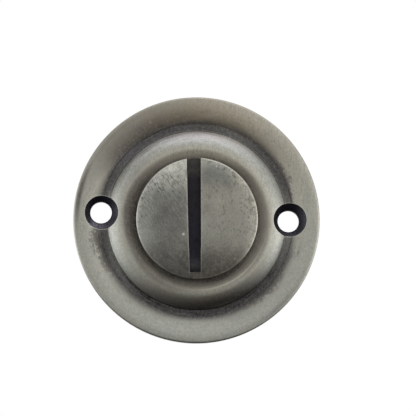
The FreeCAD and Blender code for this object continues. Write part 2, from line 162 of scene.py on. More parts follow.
def new_material(name):
    """A node material, its surface shader, and the place on the piece in millimetres."""
    material = bpy.data.materials.new(name)
    material.use_nodes = True
    tree = material.node_tree
    coordinates = Wire(tree, tree.nodes.new("ShaderNodeTexCoord").outputs["Object"])
    place = coordinates.vector("MULTIPLY", (1000.0, 1000.0, 1000.0))
    return material, tree.nodes["Principled BSDF"], place


def strip(first, second):
    """Faces between two rows of point numbers of the same length."""
    return np.stack((first[:-1], first[1:], second[1:], second[:-1]), axis=1)


def join_sheets(sheets):
    """Points and faces of several grids, each given as rows of x, height and z, and the numbers that
    the points of each grid got."""
    points, faces, grids, total = [], [], [], 0
    for rows in map(np.asarray, sheets):
        numbers = total + np.arange(rows.shape[0] * rows.shape[1]).reshape(rows.shape[:2])
        total += numbers.size
        points.append(rows.reshape(-1, 3))
        faces.extend(strip(*pair) for pair in zip(numbers[:-1], numbers[1:]))
        grids.append(numbers)
    return np.concatenate(points), np.concatenate(faces), grids


def add_mesh(name, points, faces, values=(), smooth=40.0):
    """A mesh object from points in x, height and z in millimetres and four-cornered faces.

    Points at the same place become one, a face that loses a corner by that becomes a triangle, and
    faces look outwards. Values are numbers stored on the points. Edges sharper than the angle in
    degrees stay sharp."""
    _, first, same = np.unique(
        np.round(points, 4), axis=0, return_index=True, return_inverse=True
    )
    faces = same.reshape(-1)[faces]
    points = points[first]
    corner = faces != np.roll(faces, -1, axis=1)
    whole = corner.sum(axis=1) > 2
    faces, corner = faces[whole], corner[whole]
    sizes = corner.sum(axis=1)
    places = np.stack((points[:, 0], -points[:, 1], points[:, 2]), axis=1) / 1000
    mesh = bpy.data.meshes.new(name)
    mesh.vertices.add(len(places))
    mesh.vertices.foreach_set("co", places.astype(np.float32).ravel())
    mesh.loops.add(int(sizes.sum()))
    mesh.loops.foreach_set("vertex_index", faces[corner].astype(np.int32))
    mesh.polygons.add(len(faces))
    starts = np.concatenate(([0], np.cumsum(sizes)[:-1]))
    mesh.polygons.foreach_set("loop_start", starts.astype(np.int32))
    mesh.polygons.foreach_set("loop_total", sizes.astype(np.int32))
    mesh.update(calc_edges=True)
    turned = bmesh.new()
    turned.from_mesh(mesh)
    bmesh.ops.recalc_face_normals(turned, faces=turned.faces)
    turned.to_mesh(mesh)
    turned.free()
    for key, numbers in dict(values).items():
        layer = mesh.attributes.new(key, "FLOAT", "POINT")
        layer.data.foreach_set("value", np.asarray(numbers)[first].astype(np.float32))
    mesh.shade_smooth()
    mesh.set_sharp_from_angle(angle=math.radians(smooth))
    piece = bpy.data.objects.new(name, mesh)
    bpy.context.collection.objects.link(piece)
    return piece


world = bpy.data.worlds.new("studio")
bpy.context.scene.world = world
world.use_nodes = True
sky = world.node_tree
sky_light = sky.nodes["Background"]
ray = sky.nodes.new("ShaderNodeLightPath").outputs
seen, mirrored, through = (
    Wire(sky, ray[name]) for name in ("Is Camera Ray", "Is Glossy Ray", "Is Transmission Ray")
)
sky_colour = seen.most(mirrored).most(through).mix((0.5, 0.5, 0.5), (1.0, 1.0, 1.0))
sky_colour.feed(sky_light, "Color")
sky_light.inputs["Strength"].default_value = 1.0
bpy.context.scene.view_settings.view_transform = "Standard"

TENT_RADIUS = 1600.0
TENT_BASE = 0.07
FILL_FROM = math.radians(115)
FILL_FADE = math.radians(40)
FILL = 0.62
FILL_UPWARDS = 0.3
# Each soft box: sideways and upward place, its spread both ways, and brightness. Places are sines
# of half the angle from the lens axis, which is the tilt of the metal that mirrors the box to the
# lens. The last one is the dark patch of the lens and the stand.
SOFT_BOXES = (
    (0.08, 0.50, 0.35, 0.20, 1.00),
    (0.60, -0.09, 0.15, 0.24, 0.72),
    (-0.63, -0.06, 0.24, 0.23, 1.12),
    (0.29, 0.00, 0.35, 0.15, 0.88),
    (0.06, -0.06, 0.10, 0.10, -0.36),
)
around = np.linspace(0, 2 * math.pi, 129)
outward = np.linspace(0.0, math.pi, 121)
spread, bearing = np.meshgrid(outward, around, indexing="ij")
rise = np.sin(spread) * np.sin(bearing)
tent_grid = np.stack((np.sin(spread) * np.cos(bearing), np.cos(spread), rise), axis=2)
glow = np.full(spread.shape, TENT_BASE)
for place_x, place_z, wide, tall, bright in SOFT_BOXES:
    off_x = (np.sin(spread / 2) * np.cos(bearing) - place_x) / wide
    off_z = (np.sin(spread / 2) * np.sin(bearing) - place_z) / tall
    glow += bright * np.exp(-(off_x**2 + off_z**2) / 2)
behind = np.clip((spread - FILL_FROM) / FILL_FADE, 0, 1) ** 2
glow = glow * (1 - behind) + (FILL + FILL_UPWARDS * rise) * behind
tent_points, tent_faces, _ = join_sheets([tent_grid * TENT_RADIUS])
tent = add_mesh("tent", tent_points, tent_faces, {"glow": glow.ravel()})
tent_material = bpy.data.materials.new("tent_cloth")
tent_material.use_nodes = True
tree = tent_material.node_tree
tree.nodes.remove(tree.nodes["Principled BSDF"])
cloth = tree.nodes.new("ShaderNodeEmission")
tree.links.new(cloth.outputs[0], tree.nodes["Material Output"].inputs["Surface"])
glowing = tree.nodes.new("ShaderNodeAttribute")
glowing.attribute_name = "glow"
Wire(tree, glowing.outputs["Fac"]).feed(cloth, "Strength")
tent.data.materials.append(tent_material)
tent.visible_camera = False
tent.visible_shadow = False

FLOOR_LEVEL = -120.0
FLOOR_HALF = 1500.0
corners = np.array(((-1, 1), (1, 1), (1, -1), (-1, -1))) * FLOOR_HALF
floor_points = np.append(corners, np.full((4, 1), FLOOR_LEVEL), axis=1)
floor = add_mesh("floor", floor_points, np.array([[0, 1, 2, 3]]))
floor_material, floor_shader, _ = new_material("floor_pale")
floor_shader.inputs["Base Color"].default_value = (0.82, 0.82, 0.81, 1)
floor_shader.inputs["Roughness"].default_value = 0.9
floor.data.materials.append(floor_material)
floor.visible_glossy = False


# Rose: one round casting in antique pewter finish, screwed to the door through two countersunk
# holes. Its flange is dished, a flat valley runs round the boss, and the boss has a rounded shoulder
# and a shallow recess for the release. The back is hollowed, with a pad round each screw hole.

AROUND = 360
BLOCK_IN_R = 15.0
BLOCK_OUT_R = 23.15
HALF_BLOCK = 13
FLOOR_R = 12.6
RECESS_R = 13.5
RECESS_H = 5.299
BOSS_H = 5.549
WALL_WIDTH = 1.8
LAND_R = 14.25
SHOULDER = 5.0
FLANK = math.radians(43.5)
FLANK_R = 18.19
QUIRK = 0.2
FOOT = 0.07
VALLEY_H = 3.5
VALLEY_WIDTH = 1.34
DISH = math.radians(20)
DISH_RUN = 4.2
EDGE_CROWN = 9.0
EDGE_ROUND = 0.35
RIM_R = 25.0
SEAT_IN_R = 23.0
BACK_CHAMFER = 0.3
BACK_ROUND = 0.05
RELIEF_H = 0.9
RELIEF_ROUND = 0.2
HOLLOW_R = 15.53
ROOF_H = 3.649
HOLLOW_ROUND = 1.0
HUB_R = 9.05
HUB_H = 3.349
BORE_R = 6.05
BORE_CHAMFER = 0.25
HOLE_X = 19.1
HOLE_SHIFT = -0.36
HOLE_Z = 0.7
SINK_R = 3.37
SINK_H = 3.3
SCREW_R = 2.2
SCREW_H = 2.15
PAD_R = 3.3
HOLE_ROUND = 0.08
STEP = 0.17
ROUND_ANGLES = np.radians((0, 22.5, 45, 67.5, 90))


def front_height(r):
    """Height of the rose's front over the distance from its axis.

    From the floor of the recess outwards: a wall that polishing has rounded to a soft step, flat
    land, shoulder as an arc with a straight flank, a short upright foot, flat valley, dished flange
    as one arc with its lowest slope at the crest, and the rounded edge. The table is smoothed a
    little, as casting and polishing do."""
    table_r = np.arange(FLOOR_R, RIM_R + 0.005, 0.01)
    wall_r = FLANK_R + 0.04
    foot_r = wall_r + FOOT
    crease_r = FLANK_R + FOOT + VALLEY_WIDTH
    dish_radius = DISH_RUN / math.sin(DISH)
    crest_r = crease_r + DISH_RUN
    crest_h = VALLEY_H + dish_radius * (1 - math.cos(DISH))
    up = np.clip((table_r - RECESS_R) / WALL_WIDTH + 0.5, 0, 1)
    step = RECESS_H + (BOSS_H - RECESS_H) * up**2 * (3 - 2 * up)
    shoulder = BOSS_H - SHOULDER + np.sqrt(np.maximum(SHOULDER**2 - (table_r - LAND_R) ** 2, 0))
    straight = VALLEY_H + QUIRK + (FLANK_R - table_r) * math.tan(FLANK)
    wall_top = VALLEY_H + QUIRK
    quirk = wall_top - (QUIRK - FOOT) * (table_r - FLANK_R) / (wall_r - FLANK_R)
    foot = VALLEY_H + FOOT - np.sqrt(np.maximum(FOOT**2 - (foot_r - table_r) ** 2, 0))
    dish = crest_h - dish_radius + np.sqrt(np.maximum(dish_radius**2 - (crest_r - table_r) ** 2, 0))
    crown = crest_h - EDGE_CROWN + np.sqrt(np.maximum(EDGE_CROWN**2 - (table_r - crest_r) ** 2, 0))
    height = np.select(
        [
            table_r < LAND_R,
            table_r < LAND_R + SHOULDER * math.sin(FLANK),
            table_r < FLANK_R,
            table_r < wall_r,
            table_r < foot_r,
            table_r < crease_r,
            table_r < crest_r,
        ],
        [step, shoulder, straight, quirk, foot, VALLEY_H, dish],
        crown,
    )
    smooth = np.exp(-0.5 * (np.arange(-20, 21) / 4.0) ** 2)
    smooth /= smooth.sum()
    softened = np.convolve(np.pad(height, 20, mode="edge"), smooth, mode="valid")
    return np.interp(r, table_r, softened)


def even_steps(low, high, step):
    """Radii between two limits that cut the rose's front into pieces of about equal length."""
    r = np.linspace(low, high, 4001)
    length = np.concatenate(([0], np.cumsum(np.hypot(np.diff(r), np.diff(front_height(r))))))
    count = max(1, round(length[-1] / step))
    return np.interp(np.linspace(0, length[-1], count + 1), length, r)


def rings_of(r, h):
    """Rows of radius and height. The height is one number or one for each radius."""
    return np.stack((r, np.broadcast_to(h, np.shape(r))), axis=1)


def arc(centre_r, centre_h, radius, start, end, steps):
    """Rows of radius and height on an arc of a section. Angles are in degrees from +r."""
    angle = np.radians(np.linspace(start, end, steps + 1))
    return rings_of(centre_r + radius * np.cos(angle), centre_h + radius * np.sin(angle))


# The section of the rose as rings, from the bearing face through the bore to the front, round the
# rim and along the back. The screw holes are cut into a block of rings in the front and in the back.
edge_r = RIM_R - EDGE_ROUND
front_a = even_steps(FLOOR_R, BLOCK_IN_R, STEP)
front_b = even_steps(BLOCK_IN_R, BLOCK_OUT_R, STEP)
front_c = even_steps(BLOCK_OUT_R, edge_r, STEP)
edge_h = float(front_height(np.array([edge_r]))[0])
block = len(front_b) - 1
relief_r = np.linspace(SEAT_IN_R - RELIEF_ROUND - 0.02, HOLLOW_R + RELIEF_ROUND, block + 1)
rim_low = BACK_CHAMFER + BACK_ROUND
section = [
    rings_of([BORE_R + BORE_CHAMFER], HUB_H),
    rings_of([BORE_R] * 3, (HUB_H + BORE_CHAMFER, 4.4, RECESS_H)),
    rings_of(np.linspace(BORE_R, FLOOR_R, 7)[1:-1], RECESS_H),
    rings_of(front_a, front_height(front_a)),
    rings_of(front_b[1:], front_height(front_b[1:])),
    rings_of(front_c[1:], front_height(front_c[1:])),
    arc(edge_r, edge_h - EDGE_ROUND, EDGE_ROUND, 82, 0, 6)[1:],
    rings_of(np.full(5, RIM_R), np.linspace(edge_h - EDGE_ROUND, rim_low, 6)[1:]),
    arc(RIM_R - BACK_ROUND, rim_low, BACK_ROUND, 0, -45, 2)[1:],
    arc(RIM_R - BACK_CHAMFER, BACK_ROUND, BACK_ROUND, -45, -90, 2),
    rings_of(np.linspace(RIM_R - BACK_CHAMFER - 0.2, SEAT_IN_R + BACK_ROUND, 6), 0.0),
    arc(SEAT_IN_R + BACK_ROUND, BACK_ROUND, BACK_ROUND, -90, -180, 3)[1:],
    arc(SEAT_IN_R - RELIEF_ROUND, RELIEF_H - RELIEF_ROUND, RELIEF_ROUND, 0, 90, 4)[:-1],
    rings_of(relief_r, RELIEF_H),
    arc(HOLLOW_R + RELIEF_ROUND, RELIEF_H + RELIEF_ROUND, RELIEF_ROUND, -90, -180, 4)[1:],
    rings_of(np.full(2, HOLLOW_R), np.linspace(1.5, ROOF_H - HOLLOW_ROUND, 3)[:-1]),
    arc(HOLLOW_R - HOLLOW_ROUND, ROOF_H - HOLLOW_ROUND, HOLLOW_ROUND, 0, 90, 8),
    rings_of(np.linspace(14.0, HUB_R + 0.1, 7), ROOF_H),
    arc(HUB_R + 0.1, ROOF_H - 0.1, 0.1, 90, 180, 3)[1:],
    arc(HUB_R - 0.08, HUB_H + 0.08, 0.08, 0, -90, 3),
    rings_of(np.linspace(HUB_R - 0.4, BORE_R + BORE_CHAMFER + 0.3, 4), HUB_H),
]
starts = np.cumsum([0] + [len(piece) for piece in section])
front_start = starts[4] - 1
relief_start = starts[13]
section = np.concatenate(section)
ring_count = len(section)

turns = 2 * math.pi * np.arange(AROUND) / AROUND
ring_r = section[:, 0][:, None]
ring_h = np.broadcast_to(section[:, 1][:, None], (ring_count, AROUND))
number = np.arange(ring_count * AROUND).reshape(ring_count, AROUND)

hole_turn = round(math.degrees(math.atan2(HOLE_Z, HOLE_X)) / 360 * AROUND)
block_at = (hole_turn, AROUND // 2 - hole_turn)
open_face = np.zeros((ring_count, AROUND), dtype=bool)
for middle in block_at:
    columns = np.arange(middle - HALF_BLOCK, middle + HALF_BLOCK) % AROUND
    for start in (front_start, relief_start):
        open_face[np.ix_(np.arange(start, start + block), columns)] = True

beside = np.roll(number, -1, axis=1)
below = np.roll(number, -1, axis=0)
beside_below = np.roll(below, -1, axis=1)
wall = np.stack((number, below, beside_below, beside), axis=2)[~open_face]
ring_points = (ring_r * np.cos(turns), ring_h, ring_r * np.sin(turns))
rose_points = [np.stack(ring_points, axis=2).reshape(-1, 3)]
rose_faces = [wall]


def block_loop(start, middle, reverse):
    """Point numbers round a block of rings, anticlockwise over the plan from its first corner."""
    columns = np.arange(middle - HALF_BLOCK, middle + HALF_BLOCK + 1) % AROUND
    rings = np.arange(start, start + block + 1)
    if reverse:
        rings = rings[::-1]
    return np.concatenate(
        (
            number[rings[:-1], columns[0]],
            number[rings[-1], columns[:-1]],
            number[rings[:0:-1], columns[-1]],
            number[rings[0], columns[:0:-1]],
        )
    )


def hole_ring(centre, radius, at, height=None):
    """Points on a circle at the given bearings. Without a height they lie on the rose's front."""
    x = centre[0] + radius * np.cos(at)
    z = centre[1] + radius * np.sin(at)
    if height is None:
        height = front_height(np.hypot(x, z))
    return np.stack((x, np.broadcast_to(height, x.shape), z), axis=1)


# Each screw hole is a tube of rings from the block in the front to the block in the back. The sink
# and the bore of the right hole aren't quite concentric.
HOLES = (
    (block_at[0], (HOLE_X + HOLE_SHIFT, HOLE_Z), (HOLE_X + HOLE_SHIFT + 0.18, HOLE_Z + 0.2)),
    (block_at[1], (HOLE_SHIFT - HOLE_X, HOLE_Z), (HOLE_SHIFT - HOLE_X + 0.12, HOLE_Z - 0.08)),
)
# Radius and height of the rings down the bore, over its lower edge and the pad, and up to the relief.
BORE_RINGS = (
    (SCREW_R, 1.3),
    (SCREW_R, 0.7),
    (SCREW_R, 0.12),
    (SCREW_R + 0.12, 0.0),
    (2.6, 0.0),
    (2.9, 0.0),
    (PAD_R - 0.08, 0.0),
    (PAD_R - 0.025, 0.025),
    (PAD_R, 0.08),
    (PAD_R, 0.5),
    (PAD_R, RELIEF_H),
)
total = ring_count * AROUND
for middle, bore_at, sink_at in HOLES:
    front_loop = block_loop(front_start, middle, False)
    back_loop = block_loop(relief_start, middle, True)
    edge = rose_points[0][front_loop]
    edge_back = rose_points[0][back_loop]
    bearing = np.unwrap(np.arctan2(edge[:, 2] - sink_at[1], edge[:, 0] - sink_at[0]))
    bearing_back = np.arctan2(edge_back[:, 2] - bore_at[1], edge_back[:, 0] - bore_at[0])
    bearing_back = np.unwrap(bearing_back)
    bearing_back += 2 * math.pi * np.round((bearing[0] - bearing_back[0]) / (2 * math.pi))
    rings = []
    mouth = hole_ring(sink_at, SINK_R + HOLE_ROUND, bearing)
    for share in (0.25, 0.45, 0.62, 0.76, 0.88):
        ring = edge * (1 - share) + mouth * share
        ring[:, 1] = front_height(np.hypot(ring[:, 0], ring[:, 2]))
        rings.append(ring)
    for angle in ROUND_ANGLES:
        ring = hole_ring(sink_at, SINK_R + HOLE_ROUND * (1 - math.sin(angle)), bearing)
        ring[:, 1] -= HOLE_ROUND * (1 - math.cos(angle))
        rings.append(ring)
    top = rings[-1][:, 1]
    for share in (0.25, 0.5, 0.75, 1.0):
        rings.append(hole_ring(sink_at, SINK_R, bearing, top * (1 - share) + SINK_H * share))
    sink = rings[-1]
    bore = hole_ring(bore_at, SCREW_R, (bearing + bearing_back) / 2, SCREW_H)
    for share in (0.12, 0.3, 0.5, 0.7, 0.88, 1.0):
        rings.append(sink * (1 - share) + bore * share)
    for radius, height in BORE_RINGS:
        rings.append(hole_ring(bore_at, radius, bearing_back, height))
    pad = rings[-1]
    for share in (0.12, 0.35, 0.65):
        rings.append(pad * (1 - share) + edge_back * share)
    loops = [front_loop]
    for ring in rings:
        loops.append(np.arange(total, total + len(ring)))
        total += len(ring)
        rose_points.append(ring)
    loops.append(back_loop)
    for pair in zip(loops[:-1], loops[1:]):
        rose_faces.append(strip(*(np.append(loop, loop[0]) for loop in pair)))

rose_points = np.concatenate(rose_points)
kept, rose_faces = np.unique(np.concatenate(rose_faces), return_inverse=True)
rose_points = rose_points[kept]
rose_faces = rose_faces.reshape(-1, 4)


def bump_at(value, middle, width):
    """1 at the middle and less on both sides: e to the minus square of the distance over the width.
    A width above 10 is one in degrees, which go round at 360."""
    away = value - middle
    if np.ndim(away) and width > 10:
        away = (away + 180) % 360 - 180
    return np.exp(-((away / width) ** 2))


def fall(value, middle, width):
    """1 well below the middle and 0 well above it, as a logistic step of that width."""
    return 1 / (1 + np.exp((value - middle) / width))


def lobes(turn, *rows):
    """Sum of bumps round an axis. Each row is an amount, and the middle and width of an angle."""
    return sum(amount * bump_at(turn, middle, width) for amount, middle, width in rows)


def spots(turn, r, *rows):
    """Bumps over angle and radius, one array for each row: amount, middle and width of the angle,
    middle and width of the radius."""
    return [
        amount * bump_at(turn, heading, wide) * bump_at(r, away, long)
        for amount, heading, wide, away, long in rows
    ]


# Three spots on the flange where the patina stands in ragged dots, given as rows for the function
# above.
RAGGED_SPOTS = ((0.58, -163, 9, 21.6, 1.0), (0.48, 27, 8, 20.9, 0.6), (0.46, -14, 7, 21.6, 0.7))


def front_patina_shade_sheen(x, z):
    """How much dark patina the front of the rose keeps, 0 to 1, with painted shade added in places.
    Below 0 it is painted brighter, for painted highlights.

    The valley keeps nearly all of it, most at the bottom and along its two edges. From there it
    thins outwards, over a width that differs round the rose. It lies thinly over the upper left of
    the flange and in the ragged spots. Some lies on the foot of the shoulder, more at the lower
    right. The lower flank of the shoulder is darker, most at the lower right: painted shade. The
    recess holds patina and painted shade of the release head, most to the left of and below the head,
    and reaches over the lip on the left; it is lighter at the top of the lip. Four stretches just
    above the foot and three on the flange near the rim are brightened: painted highlights."""
    r = np.hypot(x, z)
    turn = np.degrees(np.arctan2(z, x))
    foot = FLANK_R
    crease = foot + FOOT + VALLEY_WIDTH
    middle = crease - 0.7
    depth = 0.935 + lobes(turn, (0.06, 290, 45), (-0.3, 2, 17))
    depth += sum(
        spots(
            turn,
            r,
            (-0.11, 68, 14, middle, 0.55),
            (-0.08, 143, 14, middle, 0.55),
            (-0.17, 209, 18, middle, 0.55),
            (-0.09, 338, 13, middle, 0.55),
            (0.2, 300, 34, foot + 0.25, 0.5),
            (0.2, 238, 16, foot + 0.2, 0.4),
            (-0.1, 75, 10, crease + 0.4, 0.7),
            (0.12, -161, 9, crease + 0.2, 1.0),
        )
    )
    reach = 1.55 + lobes(turn, (0.45, 74, 18), (-0.65, 8, 16), (-0.4, 272, 22))
    reach += lobes(turn, (0.4, 316, 24), (0.9, 196, 13), (0.28, 232, 22))
    outside = depth * np.exp(-((np.maximum(r - crease, 0) / reach) ** 1.4))
    seam = bump_at(r, crease + 0.06, 0.2) * (1 - 0.3 * bump_at(turn, 68, 14))
    outside = np.maximum(outside, seam)

    cloud = np.minimum(lobes(turn, (0.95, 134, 28), (0.5, 96, 24)), 0.86)
    cloud *= np.clip(1.05 - (r - crease) / 9.0, 0, 1)
    patchy = lobes(turn, (0.72, 169, 19), (0.4, 316, 18)) * bump_at(r, 24.3, 0.7)
    spread = np.maximum(cloud, patchy)
    spread += 0.1 * bump_at(r, 24.1, 0.35) * (1 - bump_at(turn, 98, 30))
    # Brightened stretches on the flange near the rim: painted highlights.
    spread -= lobes(turn, (0.32, 27, 15), (0.32, 304, 22)) * bump_at(r, 22.7, 0.9)
    spread -= 0.55 * bump_at(turn, 196, 11) * bump_at(r, 23.4, 0.7)
    spread = np.max([spread, *spots(turn, r, *RAGGED_SPOTS)], axis=0)
    flange = np.where(outside > 0.06, np.maximum(outside, spread), spread)

    # Darker lower flank of the shoulder, most at the lower right: painted shade.
    low = lobes(turn, (0.98, 292, 43), (0.22, 240, 28))
    lower_flank_shade = low * np.clip((r - 15.1) / 0.6, 0, 1) * (0.57 + 0.4 * np.clip((r - 15.4) / 2.4, 0, 1))
    above_foot = 0.62 * np.exp((r - foot) / 0.18) * bump_at(turn, 240, 19)
    smudges = ((0.28, 45, 10, 17.5, 0.6), (0.38, 144, 22, 15.4, 0.9), (0.3, 245, 25, 15.5, 0.8))
    # Dark recess round the head: patina and painted shade of the head, most to its left and below it.
    reached = 14.6 + lobes(turn, (-0.7, 84, 34), (0.5, 166, 30), (0.7, 240, 25), (0.45, 335, 28))
    strength = 0.6 + lobes(turn, (-0.4, 86, 34), (0.24, 178, 48), (0.15, 48, 16))
    near = 13.1 + lobes(turn, (0.5, 172, 50), (0.25, 270, 50), (0.2, 50, 18), (0.2, 300, 16))
    near -= lobes(turn, (0.15, 122, 18), (0.2, 268, 14))
    recess_patina_and_shade = (strength * fall(r, reached, 0.24), fall(r, near, 0.28))
    boss = np.max([lower_flank_shade, above_foot, *spots(turn, r, *smudges), *recess_patina_and_shade], axis=0)
    # Brightened stretches just above the foot: painted highlights.
    foot_highlight = lobes(turn, (0.4, 66, 15), (0.4, 121, 10), (0.4, 203, 11), (0.4, -71, 9))
    boss -= foot_highlight * bump_at(r, foot - 0.2, 0.35)
    on_boss = fall(r, foot + 0.05, 0.03)
    return np.clip(boss * on_boss + flange * (1 - on_boss), -0.4, 1.2)


def front_hue(x, z):
    """Tint of the rose's front: above 0 brown, below 0 violet. Brown in the recess and on the upper
    flange, violet on the upper shoulder. It goes straight between values at nine radii, and between
    those for the top, the bottom and the sides as bumps round the axis."""
    r = np.hypot(x, z)
    turn = np.degrees(np.arctan2(z, x))
    at = (13.8, 15.0, 16.2, 17.8, 18.4, 19.5, 20.6, 22.2, 24.5)
    upper = bump_at(turn, 90, 42)
    lower = bump_at(turn, 275, 60) * (1 - upper)
    sides = 1 - upper - lower
    hue = upper * np.interp(r, at, (0.8, 0.3, -0.7, -1.2, -0.3, 0.3, 1.4, 1.3, 0.7))
    hue += lower * np.interp(r, at, (0.8, 0.7, 0.9, 0.4, -0.1, -0.1, 0.3, 0.2, 0.25))
    hue += sides * np.interp(r, at, (0.8, 0.5, 0.1, -0.2, 0.0, 0.1, 0.5, 0.35, 0.4))
    return hue - 0.7 * bump_at(turn, 136, 24) * bump_at(r, 18.9, 0.9)


rose_x, rose_h, rose_z = rose_points.T
rose_r = np.hypot(rose_x, rose_z)
rose_turn = np.degrees(np.arctan2(rose_z, rose_x))
in_hole = np.zeros(len(rose_points))
sink_rim_glint = np.zeros(len(rose_points))
for _, bore_at, sink_at in HOLES:
    from_bore = np.hypot(rose_x - bore_at[0], rose_z - bore_at[1])
    from_sink = np.hypot(rose_x - sink_at[0], rose_z - sink_at[1])
    inside = (from_bore < SCREW_R + 0.05) | ((rose_h > 1.0) & (from_sink < SINK_R + 0.02))
    in_hole = np.maximum(in_hole, inside)
    # A thin ring round each sink's rim, for its painted highlight.
    sink_rim_glint += bump_at(from_sink, SINK_R + HOLE_ROUND / 2, 0.1) * (rose_h > SINK_H)
facing_front = rose_h > np.where(rose_r > 20, 2.2, np.where(rose_r > HOLLOW_R, 2.6, ROOF_H + 0.3))
outer_wall = (rose_r > RIM_R - 0.2) & (rose_h > 0.12)
facing_front = facing_front | outer_wall
# The front's patina, with painted shade in places and painted highlights below 0; the back has an even
# patina.
patina_shade_sheen = np.where(facing_front, front_patina_shade_sheen(rose_x, rose_z), 0.35)
patina_shade_sheen = np.where(outer_wall, 0.75 * np.exp(-rose_h / 1.1), patina_shade_sheen)
broken_spots = (
    (1.0, 24, 15, 20.5, 1.3),
    (0.6, -42, 18, 20.8, 1.6),
    (0.9, 199, 15, 21.2, 1.8),
    (0.75, 222, 22, 18.0, 0.5),
    *((0.8, heading, wide * 1.4, away, long * 1.4) for _, heading, wide, away, long in RAGGED_SPOTS),
)
broken = 0.25 + sum(spots(rose_turn, rose_r, *broken_spots))
ringed = sum(spots(rose_turn, rose_r, (1.0, 122, 42, 17.1, 1.1), (0.5, 40, 30, 17.4, 1.0)))
# Bright line on the recess lip at the lower right, glints on the shoulder by the left hole, a line
# along the crown of the rim and rings round the sink rims: painted highlights.
recess_lip_glint, shoulder = spots(rose_turn, rose_r, (0.9, -55, 32, 14.37, 0.12), (0.75, 171, 8, 17.5, 1.1))
crown = 0.8 * bump_at(rose_r, RIM_R - 0.1, 0.12) * (rose_h > 3.4)
worn_and_glint = np.max([recess_lip_glint * (rose_h > RECESS_H), shoulder, crown, 0.7 * sink_rim_glint], axis=0)
# Lighter crescents on the cones of the screw sinks, most at the lower left of the left one and at the
# right of the right one: painted reflection.
around_left = np.degrees(np.arctan2(rose_z - HOLE_Z, rose_x - (HOLE_SHIFT - HOLE_X)))
around_right = np.degrees(np.arctan2(rose_z - HOLE_Z, rose_x - (HOLE_SHIFT + HOLE_X)))
up_cone = np.clip((rose_h - SCREW_H) / (SINK_H - SCREW_H), 0, 1)
left_sink_light = 0.95 * bump_at(around_left, -116, 30) * (1.3 - 0.6 * up_cone)
left_sink_light += lobes(around_left, (0.35, -70, 40), (0.24, 0, 60), (0.2, 175, 40))
right_sink_light = 0.5 * bump_at(around_right, 5, 45) * (0.3 + 0.9 * up_cone)
right_sink_light += 0.35 * bump_at(around_right, -95, 60)
sink_reflection = np.where(rose_x < 0, left_sink_light, right_sink_light) * np.clip(up_cone / 0.3, 0, 1)
rose_values = {
    "patina_shade_sheen": patina_shade_sheen,
    "broken": np.clip(broken, 0, 1),
    "ringed": np.where(facing_front, 0.15 + 0.85 * ringed, 0.0),
    "hue": np.where(facing_front & (in_hole < 1), front_hue(rose_x, rose_z), -0.6 * in_hole),
    "worn_and_glint": np.where(facing_front, worn_and_glint, 0.0),
    "pit": in_hole,
    "raw": np.where(facing_front | (in_hole > 0), 0.0, 1.0),
    "hole_light": in_hole * sink_reflection,
}
rose = add_mesh("rose_casting", rose_points, rose_faces, rose_values)
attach(rose, "rose")
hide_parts("rose")


def finish_metal(shader, colour, rough, relief, strength, height):
    """Feeds colour and roughness into a metal's shader, and a bump of that height in metres."""
    colour.feed(shader, "Base Color")
    rough.feed(shader, "Roughness")
    shader.inputs["Metallic"].default_value = 1.0
    colour.node("ShaderNodeBump", strength, height, None, relief).feed(shader, "Normal")


